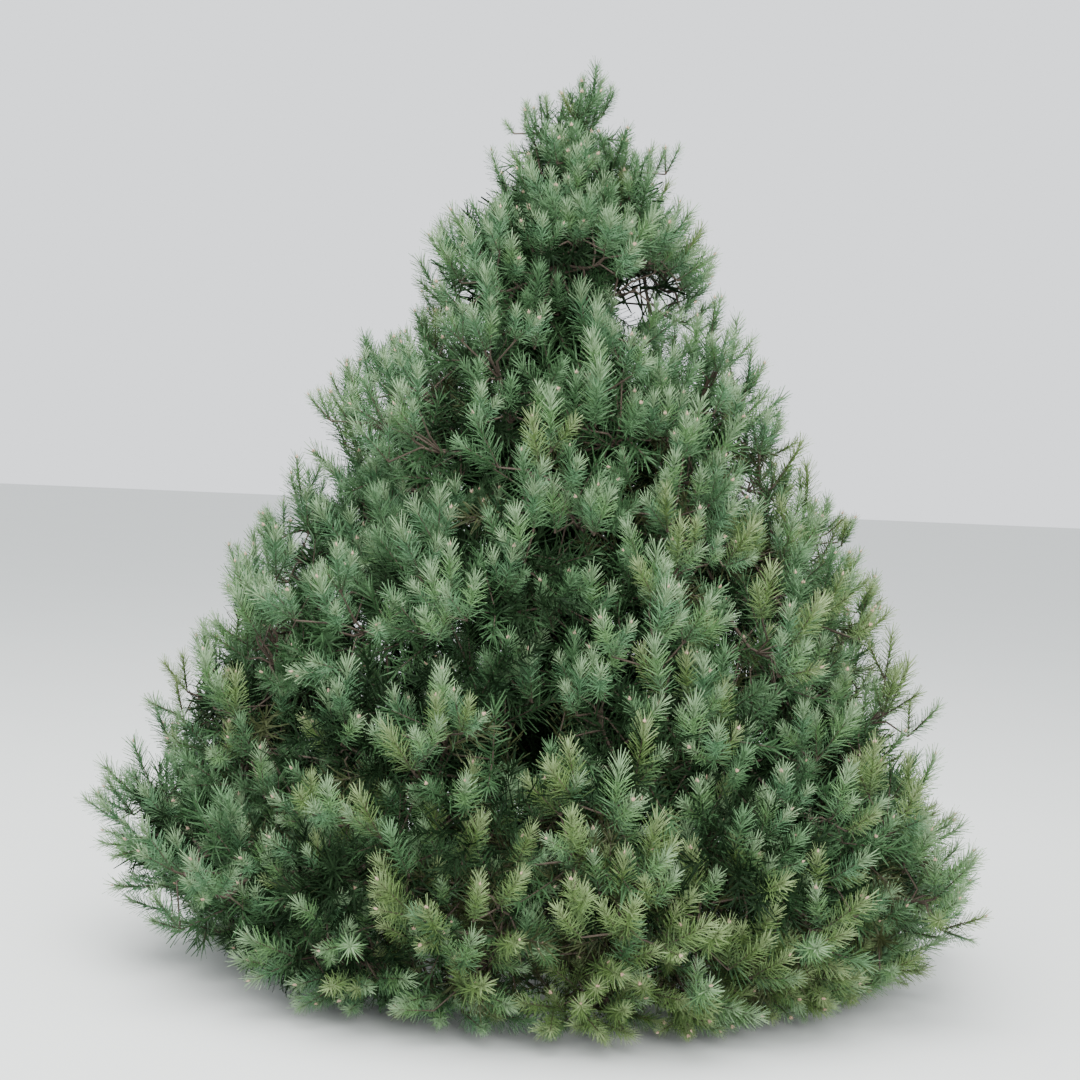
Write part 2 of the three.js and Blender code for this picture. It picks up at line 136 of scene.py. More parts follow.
class Nodes:
    """Adds nodes to one tree, each from its type, its settings and its sockets."""

    def __init__(self, tree):
        self.tree = tree

    def feed(self, socket, value):
        if isinstance(value, Wire):
            self.tree.links.new(value.socket, socket)
        else:
            socket.default_value = value

    def add(self, kind, settings=None, sockets=None, output=0):
        node = self.tree.nodes.new(kind)
        for name, value in (settings or {}).items():
            setattr(node, name, value)
        for key, value in (sockets or {}).items():
            self.feed(node.inputs[key], value)
        return Wire(self, node.outputs[output])

    def math(self, operation, *values):
        return self.add("ShaderNodeMath", {"operation": operation}, dict(enumerate(values)))

    def vector_math(self, operation, *values):
        return self.add("ShaderNodeVectorMath", {"operation": operation}, dict(enumerate(values)))

    def between(self, value, low, high):
        """The value's share of the way from low to high, from 0 to 1."""
        ends = {"Value": value, "From Min": low, "From Max": high}
        return self.add("ShaderNodeMapRange", {"interpolation_type": "SMOOTHSTEP"}, ends)

    def combined(self, **parts):
        return self.add("ShaderNodeCombineXYZ", {}, parts)

    def height_of(self, vector):
        return self.add("ShaderNodeSeparateXYZ", {}, {"Vector": vector}, 2)

    def noise(self, vector, scale, detail=3.0):
        return self.add("ShaderNodeTexNoise", {}, {"Vector": vector, "Scale": scale, "Detail": detail})

    def cracks(self, vector, scale=1.0):
        """The distance to the nearest border between cells."""
        settings = {"feature": "DISTANCE_TO_EDGE"}
        return self.add("ShaderNodeTexVoronoi", settings, {"Vector": vector, "Scale": scale})


class Surface(Nodes):
    """A material with one Principled shader, whose constant sockets are set at once."""

    def __init__(self, name, constants):
        self.material = bpy.data.materials.new(name)
        self.material.use_nodes = True
        super().__init__(self.material.node_tree)
        self.shader = self.tree.nodes["Principled BSDF"]
        self.set(constants)

    def set(self, sockets):
        for name, value in sockets.items():
            self.feed(self.shader.inputs[name], value)

    def place(self):
        """The place in the object's own coordinates."""
        return self.add("ShaderNodeTexCoord", output=3)

    def mix(self, share, first, second):
        """A colour that goes from the first to the second."""
        return self.add("ShaderNodeMix", {"data_type": "RGBA"}, {0: share, 6: first, 7: second}, 2)

    def bump(self, height, distance, strength=1.0):
        sockets = {"Height": height, "Distance": distance, "Strength": strength}
        self.set({"Normal": self.add("ShaderNodeBump", {}, sockets)})


def plain_mesh(name, places, edges=(), faces=(), marks=None):
    """A mesh of points, edges and faces; marks are the values that its points carry, by name."""
    mesh = bpy.data.meshes.new(name)
    mesh.from_pydata(places, edges, faces)
    for mark, (kind, values) in (marks or {}).items():
        field = "vector" if kind == "FLOAT_VECTOR" else "value"
        mesh.attributes.new(mark, kind, "POINT").data.foreach_set(field, values)
    return mesh


def new_object(name, mesh, finish=None):
    """An object at the origin for a mesh that holds its own place."""
    piece = bpy.data.objects.new(name, mesh)
    bpy.context.collection.objects.link(piece)
    if finish:
        mesh.materials.append(finish.material)
    return piece


floor_finish = Surface("studio_floor", {"Roughness": 0.9})
floor_mottle = floor_finish.noise(floor_finish.place(), 1.5)
floor_finish.set({"Base Color": floor_finish.mix(floor_mottle, FLOOR_COLOUR, FLOOR_MOTTLE)})
floor_half = FLOOR_SIZE / 2
floor_corners = [(x * floor_half, y * floor_half, 0) for x, y in ((-1, -1), (1, -1), (1, 1), (-1, 1))]
floor_mesh = plain_mesh("studio_floor", floor_corners, faces=[(0, 1, 2, 3)])
new_object("studio_floor", floor_mesh, floor_finish)

sky = bpy.data.worlds.new("sky")
sky.use_nodes = True
sky.node_tree.nodes["Background"].inputs["Color"].default_value = SKY_COLOUR
sky.node_tree.nodes["Background"].inputs["Strength"].default_value = SKY_STRENGTH
bpy.context.scene.world = sky


def soft_light(name, size, power, place):
    """A square lamp that faces the middle of the tree."""
    lamp = bpy.data.objects.new(name, bpy.data.lights.new(name, "AREA"))
    bpy.context.collection.objects.link(lamp)
    lamp.data.size = size
    lamp.data.energy = power
    lamp.location = place
    lamp.rotation_mode = "QUATERNION"
    lamp.rotation_quaternion = (LIGHT_AIM - lamp.location).to_track_quat("-Z", "Y")


soft_light("top_light", **TOP_LIGHT)
soft_light("side_light", **SIDE_LIGHT)


# The pot
# A plain black nursery pot, blow-moulded in one piece: a tapered wall with shallow flutes and a
# step above them, a rolled rim to lift it by, and a floor that stands on a low ring.
POT_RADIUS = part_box("pot")[1].x
POT_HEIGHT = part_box("pot")[1].z
POT_FOOT = 0.215
POT_WALL = 0.005
POT_SIDES = 144
POT_FLUTES = 24
FLUTE_DEPTH = 0.0022
FLUTE_FOOT = 0.020
FLUTE_HEAD = POT_HEIGHT - 0.090
FLUTE_FADE = 0.030
RIM_REACH = 0.009
SHARP_CORNER = radians(40)
POT_PLASTIC = (0.018, 0.019, 0.020, 1)
POT_DUST = (0.085, 0.070, 0.055, 1)


def turned_mesh(name, profile, sides, swell=lambda height, angle: 0.0):
    """A round piece from a profile of radius and height that starts and ends on the axis."""
    shape = bmesh.new()
    angles = [tau * side / sides for side in range(sides)]
    rings = []
    for radius, height in profile:
        if radius:
            reaches = [(radius + swell(height, angle), angle) for angle in angles]
            rings.append([shape.verts.new((r * cos(a), r * sin(a), height)) for r, a in reaches])
        else:
            rings.append([shape.verts.new((0, 0, height))] * sides)
    for lower, upper in zip(rings, rings[1:]):
        for i in range(sides):
            j = (i + 1) % sides
            shape.faces.new(list(dict.fromkeys((lower[i], lower[j], upper[j], upper[i]))))
    mesh = bpy.data.meshes.new(name)
    shape.to_mesh(mesh)
    shape.free()
    mesh.shade_smooth()
    mesh.set_sharp_from_angle(angle=SHARP_CORNER)
    return mesh


def pot_slope(height):
    return POT_FOOT + (POT_RADIUS - RIM_REACH - POT_FOOT) * height / POT_HEIGHT


def flutes(height, angle):
    """Shallow upright hollows in the lower wall that fade out at both ends."""
    fade = max(0.0, min(1.0, (height - FLUTE_FOOT) / FLUTE_FADE, (FLUTE_HEAD - height) / FLUTE_FADE))
    return -FLUTE_DEPTH * fade * (0.5 + 0.5 * cos(POT_FLUTES * angle))


# The pot's section: up the outside from the middle of its underside, over the rim and down inside
WALL_HEIGHTS = [0.006 + 0.0085 * step for step in range(31)]
POT_PROFILE = [
    (0, 0.004),
    (POT_FOOT - 0.030, 0.004),
    (POT_FOOT - 0.026, 0.0005),
    (POT_FOOT - 0.006, 0.0),
    (POT_FOOT - 0.001, 0.002),
    *[(pot_slope(height) - 0.001, height) for height in WALL_HEIGHTS],
    (pot_slope(0.274), 0.274),
    (pot_slope(0.277) + 0.003, 0.277),
    (pot_slope(0.300) + 0.003, 0.300),
    (pot_slope(0.316) + 0.003, 0.316),
    (POT_RADIUS - 0.004, 0.318),
    (POT_RADIUS - 0.001, 0.3205),
    (POT_RADIUS, 0.328),
    (POT_RADIUS - 0.0008, 0.335),
    (POT_RADIUS - 0.004, 0.339),
    (POT_RADIUS - 0.008, POT_HEIGHT),
    (POT_RADIUS - 0.0125, 0.3385),
    (pot_slope(0.334) - POT_WALL, 0.334),
    (pot_slope(0.006) - POT_WALL, 0.006),
    (0, 0.006),
]

plastic = Surface("pot_plastic", {"IOR": 1.5})
plastic_place = plastic.place()
plastic_scuffs = plastic.noise(plastic.vector_math("MULTIPLY", plastic_place, (1, 1, 3)), 9, 6)
pot_dust = plastic.between(plastic_scuffs - plastic.height_of(plastic_place) * 3, 0.0, 0.45) * 0.6
plastic.set({
    "Base Color": plastic.mix(pot_dust, POT_PLASTIC, POT_DUST),
    "Roughness": plastic_scuffs * 0.25 + pot_dust * 0.3 + 0.36,
})
plastic.bump(plastic.noise(plastic_place, 900, 2), 0.0002, 0.5)

pot = new_object("nursery_pot", turned_mesh("nursery_pot", POT_PROFILE, POT_SIDES, flutes), plastic)
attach(pot, "root")
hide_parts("pot")


# The compost
# Peaty compost fills the pot to two fingers' breadth under its rim. It is dark and crumbly, and
# has settled a little towards the wall.
SOIL_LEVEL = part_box("soil")[1].z
SOIL_RINGS = 40
SOIL_SIDES = 120
SOIL_EDGE = 0.012
SOIL_FOOT = 0.0065
SOIL_GAP = 0.0006
SOIL_ROUNDING = 0.004
SOIL_SETTLING = 0.006
CRUMB_SIZE = 0.018
CRUMB_HEIGHT = 0.010
SOIL_DARK = (0.018, 0.012, 0.009, 1)
SOIL_PALE = (0.075, 0.052, 0.036, 1)


class Growth(Nodes):
    """A Geometry Nodes tree with named inputs, which makes a plain mesh of a source object."""

    def __init__(self, name, inputs):
        super().__init__(bpy.data.node_groups.new(name, "GeometryNodeTree"))
        self.sockets = {}
        for title, kind in {"Geometry": "Geometry", **inputs, "Finish": "Material"}.items():
            self.sockets[title] = self.tree.interface.new_socket(
                title, in_out="INPUT", socket_type=f"NodeSocket{kind}")
        self.tree.interface.new_socket(
            "Geometry", in_out="OUTPUT", socket_type="NodeSocketGeometry")
        self.group_input = self.tree.nodes.new("NodeGroupInput")

    def given(self, title):
        """The wire that carries one of the tree's inputs."""
        return Wire(self, self.group_input.outputs[title])

    def attribute(self, name, kind="FLOAT"):
        settings = {"data_type": kind}
        return self.add("GeometryNodeInputNamedAttribute", settings, {"Name": name})

    def chance(self, low, high, seed):
        """A random number for each point."""
        sockets = {2: low, 3: high, 8: seed}
        return self.add("FunctionNodeRandomValue", {"data_type": "FLOAT"}, sockets, 1)

    def moved(self, geometry, offset):
        sockets = {"Geometry": geometry, "Offset": offset}
        return self.add("GeometryNodeSetPosition", {}, sockets)

    def ends_in(self, geometry):
        realized = self.add("GeometryNodeRealizeInstances", {}, {"Geometry": geometry})
        sockets = {"Geometry": realized, "Material": self.given("Finish")}
        finished = self.add("GeometryNodeSetMaterial", {}, sockets)
        self.feed(self.tree.nodes.new("NodeGroupOutput").inputs["Geometry"], finished)

    def grow(self, source, finish, values):
        """Gives the source object the plain mesh that the tree makes of it."""
        modifier = source.modifiers.new(self.tree.name, "NODES")
        modifier.node_group = self.tree
        for title, value in {**values, "Finish": finish.material}.items():
            modifier[self.sockets[title].identifier] = value
        depsgraph = bpy.context.evaluated_depsgraph_get()
        mesh = bpy.data.meshes.new_from_object(source.evaluated_get(depsgraph), depsgraph=depsgraph)
        source.modifiers.remove(modifier)
        for name in OWN_ATTRIBUTES:
            if name in mesh.attributes:
                mesh.attributes.remove(mesh.attributes[name])
        source.data = mesh
        return source


# What a source's points may tell a tree: a limb's thickness, and a shoot's direction, size and form
OWN_ATTRIBUTES = ("thickness", "way", "size", "form")


def soil_wall(height):
    return pot_slope(height) - POT_WALL - SOIL_GAP


soil_rim = soil_wall(SOIL_LEVEL) - SOIL_ROUNDING
outward = [1 - ring / SOIL_RINGS for ring in range(SOIL_RINGS)]
SOIL_PROFILE = [
    (0, SOIL_FOOT),
    (soil_wall(SOIL_FOOT), SOIL_FOOT),
    (soil_wall(SOIL_LEVEL - SOIL_EDGE), SOIL_LEVEL - SOIL_EDGE),
    *[(soil_rim * share, SOIL_LEVEL - SOIL_SETTLING * share ** 6) for share in outward],
    (0, SOIL_LEVEL),
]

peat = Surface("compost", {"Roughness": 0.97})
peat_place = peat.place()
peat_lumps = peat.noise(peat_place, 55, 8)
peat_fibres = peat.noise(peat_place, 420, 4)
peat.set({"Base Color": peat.mix(peat.between(peat_lumps, 0.4, 0.75), SOIL_DARK, SOIL_PALE)})
peat.bump(peat_lumps + peat_fibres * 0.4, 0.003)

crumbs = Growth("compost_crumbs", {"Crumb Size": "Float", "Crumb Height": "Float"})
crumb_place = crumbs.add("GeometryNodeInputPosition")
crumb_pattern = crumbs.noise(crumb_place, 1 / crumbs.given("Crumb Size"), 5)
crumb_top = crumbs.math("GREATER_THAN", crumbs.height_of(crumb_place), SOIL_LEVEL - 0.9 * SOIL_EDGE)
crumb_lift = (crumb_pattern - 0.5) * crumb_top * crumbs.given("Crumb Height")
crumbs.ends_in(crumbs.moved(crumbs.given("Geometry"), crumbs.combined(Z=crumb_lift)))

soil = new_object("compost", turned_mesh("compost", SOIL_PROFILE, SOIL_SIDES))
crumbs.grow(soil, peat, {"Crumb Size": CRUMB_SIZE, "Crumb Height": 2 * CRUMB_HEIGHT})
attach(soil, "root")
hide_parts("soil")


# The bark chips
# A thin scatter of composted bark over the compost: flat, split pieces of many sizes that lie at
# every angle.
CHIP_LENGTH = 0.024
CHIP_THICKNESS = 0.16
CHIPS_PER_SQUARE_METRE = 3200.0
CHIP_UNDERSIDE = 0.85
CHIP_OUTLINE = (
    (-0.5, -0.22, 0), (0.42, -0.3, 0.02), (0.55, 0.12, -0.02), (0.1, 0.33, 0.03), (-0.46, 0.2, 0))
CHIP_TILT = 0.35
CHIP_SIZES = (0.35, 1.15)
CHIP_DARK = (0.055, 0.030, 0.018, 1)
CHIP_PALE = (0.230, 0.145, 0.090, 1)

mulch = Surface("bark_chips", {"Roughness": 0.9})
mulch_place = mulch.place()
mulch_tone = mulch.noise(mulch_place, 70, 2)
mulch_fibres = mulch.noise(mulch.vector_math("MULTIPLY", mulch_place, (900, 160, 500)), 1)
mulch_pale = mulch.between(mulch_tone + mulch_fibres * 0.3, 0.45, 0.95)
mulch.set({"Base Color": mulch.mix(mulch_pale, CHIP_DARK, CHIP_PALE)})
mulch.bump(mulch_fibres, 0.0006)

chip_corners = len(CHIP_OUTLINE)
chip_under = [(CHIP_UNDERSIDE * x, CHIP_UNDERSIDE * y, z - CHIP_THICKNESS) for x, y, z in CHIP_OUTLINE]
chip_edges = [(i, (i + 1) % chip_corners) for i in range(chip_corners)]
chip = new_object("chip", plain_mesh("chip", [*CHIP_OUTLINE, *chip_under], faces=[
    tuple(range(chip_corners)),
    tuple(reversed(range(chip_corners, 2 * chip_corners))),
    *[(i, i + chip_corners, j + chip_corners, j) for i, j in chip_edges]]))

scatter = Growth("scattered_chips", {
    "Chip": "Object", "Chip Length": "Float", "Chips Per Square Metre": "Float", "Seed": "Int"})
scatter_upward = scatter.height_of(scatter.add("GeometryNodeInputNormal"))
scatter_height = scatter.height_of(scatter.add("GeometryNodeInputPosition"))
scatter_top = (scatter.math("GREATER_THAN", scatter_upward, 0.5)
               * scatter.math("GREATER_THAN", scatter_height, SOIL_LEVEL - 2 * SOIL_EDGE))
scatter_points = scatter.add("GeometryNodeDistributePointsOnFaces", {}, {
    "Mesh": scatter.given("Geometry"), "Selection": scatter_top,
    "Density": scatter.given("Chips Per Square Metre"), "Seed": scatter.given("Seed")})
scatter_turn = scatter.add("FunctionNodeEulerToRotation", {}, {"Euler": scatter.combined(
    X=scatter.chance(-CHIP_TILT, CHIP_TILT, 1),
    Y=scatter.chance(-CHIP_TILT, CHIP_TILT, 2),
    Z=scatter.chance(0.0, tau, 3))})
scatter.ends_in(scatter.add("GeometryNodeInstanceOnPoints", {}, {
    "Points": scatter_points,
    "Instance": scatter.add("GeometryNodeObjectInfo", {}, {"Object": scatter.given("Chip")}, 4),
    "Rotation": scatter_turn,
    "Scale": scatter.chance(*CHIP_SIZES, 4) * scatter.given("Chip Length")}))

chips = scatter.grow(new_object("bark_chips", soil.data.copy()), mulch, {
    "Chip": chip, "Chip Length": CHIP_LENGTH,
    "Chips Per Square Metre": CHIPS_PER_SQUARE_METRE, "Seed": 3})
bpy.data.objects.remove(chip)
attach(chips, "root")


# The trunk
# One upright stem, straight but for a few millimetres of sway, on a lobed root flare. Its bark is
# grey-brown and scaly low down, and thin, smooth and orange towards the leader.
TREE_HEIGHT = cad_box[1].z
TRUNK_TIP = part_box("trunk")[1].z
TRUNK_RADIUS = 0.038
TRUNK_TIP_RADIUS = 0.006
TRUNK_SWAY = 0.009
SIDE_WAVES = 7
BACK_WAVES = 5.2
BACK_SWAY = 0.7 * TRUNK_SWAY
TRUNK_TAPER = 0.9
TRUNK_SIDES = 40
TRUNK_STEPS = 300
FLARE_LOBES = 5
FLARE_REACH = 0.020
FLARE_LOBE_REACH = 0.007
FLARE_RISE = 0.055
KNOT_RISE = 0.060
KNOT_SWELL = 0.1
PLATE_SIZE = 0.026
PLATE_SQUASH = 0.45
PLATE_EDGE = 0.22
PLATE_LIFT = 0.6
FLAKE_LIFT = 0.8
RELIEF_LEVEL = 0.8
TRUNK_RELIEF = 0.12
FLAKE_SCALE = 2.2
FLAKE_DETAIL = 6
BARK_CRACK = (0.028, 0.018, 0.013, 1)
BARK_GREY_DARK = (0.102, 0.075, 0.0588, 1)
BARK_GREY = (0.170, 0.125, 0.098, 1)
BARK_ORANGE = (0.330, 0.160, 0.075, 1)
ORANGE_FROM = 1.1
ORANGE_TO = 1.8

# The whorls of boughs, lowest first: how many, where their foliage is centred, the first one's
# bearing, where they leave the trunk, how far apart, and how thick they are there
WHORLS = [
    SimpleNamespace(name=name, count=count, height=height, bearing=bearing,
                    foot=foot, stagger=stagger, radius=radius)
    for name, count, height, bearing, foot, stagger, radius in (
        ("skirt", 8, 0.330, 0.2, 0.480, 0.120, 0.015),
        ("low", 7, 0.770, 0.62, 0.670, 0.110, 0.014),
        ("middle", 5, 1.165, 0.35, 0.975, 0.090, 0.0125),
        ("upper", 4, 1.560, 1.2, 1.320, 0.070, 0.011),
        ("head", 3, 1.990, 0.5, 1.790, 0.050, 0.008))
]


def lerp(first, last, share):
    return first + (last - first) * share


def clamp(value, low, high):
    return max(low, min(high, value))


def smoothstep(value, low, high):
    share = clamp((value - low) / (high - low), 0, 1)
    return share * share * (3 - 2 * share)


def trunk_centre(height):
    """The trunk's middle line, which leaves the upright by a few millimetres."""
    rise = clamp((height - SOIL_LEVEL) / (TRUNK_TIP - SOIL_LEVEL), 0, 1)
    aside = TRUNK_SWAY * sin(SIDE_WAVES * rise) * sqrt(rise)
    back = BACK_SWAY * (cos(BACK_WAVES * rise) - 1)
    return Vector((aside, back, height))


def trunk_radius(share, angle):
    """A slow taper, a swelling at each whorl and a lobed flare at the soil."""
    height = lerp(SOIL_LEVEL, TRUNK_TIP, share)
    taper = lerp(TRUNK_RADIUS, TRUNK_TIP_RADIUS, share ** TRUNK_TAPER)
    lobe = FLARE_LOBE_REACH * cos(FLARE_LOBES * angle)
    flare = exp((SOIL_LEVEL - height) / FLARE_RISE) * (FLARE_REACH + lobe)
    knots = [exp(-((height - whorl.foot - whorl.stagger / 2) / KNOT_RISE) ** 2) for whorl in WHORLS]
    return taper * (1 + KNOT_SWELL * max(knots)) + flare


def round_ring(centre, side, over, radius_at, sides):
    """A ring of points round a limb, counted from one side of it over the top."""
    angles = [tau * i / sides for i in range(sides)]
    return [centre + (side * cos(a) + over * sin(a)) * radius_at(a) for a in angles]


def limbs_mesh(name, limbs):
    """Closed round limbs from their rings, each ring with the limb's thickness there."""
    places, thicknesses, faces = [], [], []
    for rings in limbs:
        first = len(places)
        sides = len(rings[0][0])
        turns = [(i, (i + 1) % sides) for i in range(sides)]
        for ring, thickness in rings:
            places.extend(ring)
            thicknesses.extend([thickness] * sides)
        for step in range(len(rings) - 1):
            low = first + step * sides
            faces.extend((low + i, low + j, low + sides + j, low + sides + i) for i, j in turns)
        faces.append(tuple(reversed(range(first, first + sides))))
        faces.append(tuple(range(len(places) - sides, len(places))))
    mesh = plain_mesh(name, places, faces=faces, marks={"thickness": ("FLOAT", thicknesses)})
    mesh.shade_smooth()
    return mesh


relief = Growth("bark_relief", {"Plate Size": "Float", "Plate Squash": "Float", "Relief": "Float"})
plate_fine = 1 / relief.given("Plate Size")
plate_scale = relief.combined(X=plate_fine, Y=plate_fine, Z=plate_fine * relief.given("Plate Squash"))
plate_place = relief.vector_math("MULTIPLY", relief.add("GeometryNodeInputPosition"), plate_scale)
plate_height = relief.between(relief.cracks(plate_place), 0.0, PLATE_EDGE) * PLATE_LIFT
flake_height = relief.noise(plate_place, FLAKE_SCALE, FLAKE_DETAIL) * FLAKE_LIFT
relief_share = (plate_height + flake_height - RELIEF_LEVEL) * relief.given("Relief")
relief_lift = relief.add("ShaderNodeVectorMath", {"operation": "SCALE"}, {
    "Vector": relief.add("GeometryNodeInputNormal"),
    "Scale": relief_share * relief.attribute("thickness")})
relief.ends_in(relief.moved(relief.given("Geometry"), relief_lift))


def bark_finish(name, plate_size, squash):
    """Scaly pine bark, dark in its cracks, that turns orange above a height."""
    bark = Surface(name, {"Roughness": 0.88})
    place = bark.place()
    plates = bark.vector_math("MULTIPLY", place, (1 / plate_size, 1 / plate_size, squash / plate_size))
    fibres = bark.noise(bark.vector_math("MULTIPLY", place, (260, 260, 60)), 1, 4)
    flakes = bark.noise(plates, FLAKE_SCALE, FLAKE_DETAIL)
    shell = bark.mix(bark.between(flakes, 0.3, 0.7), BARK_GREY_DARK, BARK_GREY)
    papery = bark.between(bark.height_of(place) + fibres * 0.3, ORANGE_FROM, ORANGE_TO)
    tone = bark.mix(papery, shell, BARK_ORANGE)
    bark.set({"Base Color": bark.mix(bark.between(bark.cracks(plates), 0.02, 0.2), BARK_CRACK, tone)})
    bark.bump(fibres + flakes, 0.001)
    return bark


bark = bark_finish("trunk_bark", PLATE_SIZE, PLATE_SQUASH)
trunk_rings = []
for step in range(TRUNK_STEPS + 1):
    share = step / TRUNK_STEPS
    centre = trunk_centre(lerp(SOIL_LEVEL, TRUNK_TIP, share))
    ring = round_ring(centre, Vector((1, 0, 0)), Vector((0, 1, 0)),
                      lambda angle: trunk_radius(share, angle), TRUNK_SIDES)
    trunk_rings.append((ring, trunk_radius(share, pi / 2)))
trunk = relief.grow(new_object("trunk_bark", limbs_mesh("trunk_bark", [trunk_rings])), bark, {
    "Plate Size": PLATE_SIZE, "Plate Squash": PLATE_SQUASH, "Relief": TRUNK_RELIEF})
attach(trunk, "root")
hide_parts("trunk")


# The boughs
# Twenty-seven limbs in five whorls, each grown from the trunk's pith with a collar round its
# foot. The skirt's boughs arch over, and the others dip a little before they rise.
CROWN_RADIUS = 1.205
LEFT_SWELL = 0.045
LEFT_SWELL_FADE = (0.3 * TREE_HEIGHT, 0.6 * TREE_HEIGHT)
LOBES = 3
LOBE_SWELL = 0.025
LOBE_RISE = 0.260
SLOPE_STEP = 0.040
OUTSIDE_SLOPES = (-0.2, 1.2)
HUB_DEPTH = 0.265
HUB_SHARE = 0.5
BOUGH_END_DEPTH = 0.345
BOUGH_END_SHARE = 0.72
LEADER_SITE = 0.945 * TREE_HEIGHT
LEADER_HUB = TRUNK_TIP + 0.060
BEARING_PLAY = 0.22
HEIGHT_PLAY = 0.070
FOOT_TURN = 0.618
BOUGH_SIDES = 12
BOUGH_STEPS = 40
BOUGH_TAPER = 0.55
BOUGH_BEND = 0.42
BOUGH_BOW = 0.05
COLLAR_SWELL = 0.3
COLLAR_FADE = 9
BOUGH_KNOTS = (0.38, 0.7)
BOUGH_KNOT_RUN = 0.02
BOUGH_KNOT_SWELL = 0.14
BOUGH_PLATE = 0.014
BOUGH_RELIEF = 0.16
UP = Vector((0, 0, 1))

# The crown's outline, from shares of the height to shares of the radius: a dense cone with a
# hanging skirt, a waist under the head, and the head above it
OUTLINE = [
    (0.02, 0.8), (0.05, 0.91), (0.12, 0.99), (0.17, 1.0), (0.25, 0.94), (0.33, 0.84),
    (0.5, 0.645), (0.66, 0.45), (0.72, 0.375), (0.755, 0.32), (0.79, 0.345), (0.83, 0.3),
    (0.88, 0.225), (0.93, 0.14), (0.97, 0.07), (1.0, 0.01),
]


def seeded(index, channel):
    """One repeatable number from 0 to 1 for an index and a channel."""
    wave = sin(index * 12.9898 + channel * 78.233) * 43758.5453
    return wave - floor(wave)


def offset(index, channel):
    """A repeatable number from -0.5 to 0.5."""
    return seeded(index, channel) - 0.5


def between_rows(table, level):
    """What a table says at a level between two rows, which each begin with their level."""
    upper = max(1, next(i for i, row in enumerate(table) if row[0] >= level))
    (low, *below), (high, *above) = table[upper - 1:upper + 1]
    return [lerp(first, last, (level - low) / (high - low)) for first, last in zip(below, above)]


def outline_radius(height):
    """The crown's radius at a height, without the swelling of its sides."""
    share = clamp(height / TREE_HEIGHT, OUTLINE[0][0], 1)
    return between_rows(OUTLINE, share)[0] * CROWN_RADIUS


def crown_radius(height, bearing):
    """The left side is the fuller one low down, and three soft lobes wind up the crown."""
    low = 1 - smoothstep(height, *LEFT_SWELL_FADE)
    left = -LEFT_SWELL * low * cos(bearing)
    lobes = LOBE_SWELL * cos(LOBES * bearing + height / LOBE_RISE)
    return outline_radius(height) * (1 + left + lobes)


def crown_point(height, bearing):
    """A point of the crown's outside, with the direction that faces out of it there."""
    fall = outline_radius(height - SLOPE_STEP) - outline_radius(height + SLOPE_STEP)
    slope = clamp(fall / (2 * SLOPE_STEP), *OUTSIDE_SLOPES)
    out = Vector((cos(bearing), sin(bearing), slope)).normalized()
    reach = crown_radius(height, bearing)
    return trunk_centre(height) + reach * Vector((cos(bearing), sin(bearing), 0)), out


def bezier(start, bend, end, share):
    return start.lerp(bend, share).lerp(bend.lerp(end, share), share)


def bough_bend(mass):
    """The middle handle of a bough's curve."""
    foot = trunk_centre(mass.foot)
    run = mass.end - foot
    bow = BOUGH_BOW * hypot(run.x, run.y) * (1 if mass.whorl.name == "skirt" else -1)
    return foot + BOUGH_BEND * run + bow * UP


def bough_radius(mass, share):
    collar = 1 + COLLAR_SWELL * exp(-COLLAR_FADE * share)
    return mass.whorl.radius * lerp(1, BOUGH_TAPER, share) * collar


masses = []
for whorl in WHORLS:
    for i in range(whorl.count):
        seed = len(masses) + 1
        bearing = whorl.bearing + tau * (i + BEARING_PLAY * offset(seed, 1)) / whorl.count
        height = whorl.height + HEIGHT_PLAY * offset(seed, 2)
        site, out = crown_point(height, bearing)
        radius = crown_radius(height, bearing)
        mass = SimpleNamespace(name=f"{whorl.name}_{i + 1}", whorl=whorl, bearing=bearing, site=site)
        mass.hub = site - min(HUB_DEPTH, HUB_SHARE * radius) * out
        mass.end = site - min(BOUGH_END_DEPTH, BOUGH_END_SHARE * radius) * out
        mass.foot = whorl.foot + (i * FOOT_TURN) % 1 * whorl.stagger
        mass.along = (mass.end - bough_bend(mass)).normalized()
        mass.stem_radius = bough_radius(mass, 1)
        masses.append(mass)
masses.append(SimpleNamespace(
    name="leader", whorl=None, site=Vector((0, 0, LEADER_SITE)),
    hub=trunk_centre(LEADER_HUB), end=trunk_centre(TRUNK_TIP),
    along=UP, stem_radius=TRUNK_TIP_RADIUS))


def bough_rings(mass):
    foot, bend = trunk_centre(mass.foot), bough_bend(mass)
    rings = []
    for step in range(BOUGH_STEPS + 1):
        share = step / BOUGH_STEPS
        tangent = (bend - foot).lerp(mass.end - bend, share).normalized()
        side = tangent.cross(UP).normalized()
        knots = max(exp(-((share - knot) / BOUGH_KNOT_RUN) ** 2) for knot in BOUGH_KNOTS)
        radius = bough_radius(mass, share) * (1 + BOUGH_KNOT_SWELL * knots)
        centre = bezier(foot, bend, mass.end, share)
        ring = round_ring(centre, side, side.cross(tangent), lambda angle: radius, BOUGH_SIDES)
        rings.append((ring, radius))
    return rings


boughs = [mass for mass in masses if mass.whorl]
bough_finish = bark_finish("bough_bark", BOUGH_PLATE, 1.0)
bough_mesh = limbs_mesh("bough_bark", [bough_rings(mass) for mass in boughs])
bough_bark = relief.grow(new_object("bough_bark", bough_mesh), bough_finish, {
    "Plate Size": BOUGH_PLATE, "Plate Squash": 1.0, "Relief": BOUGH_RELIEF})
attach(bough_bark, "root")
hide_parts(*[f"bough_{mass.name}" for mass in boughs])


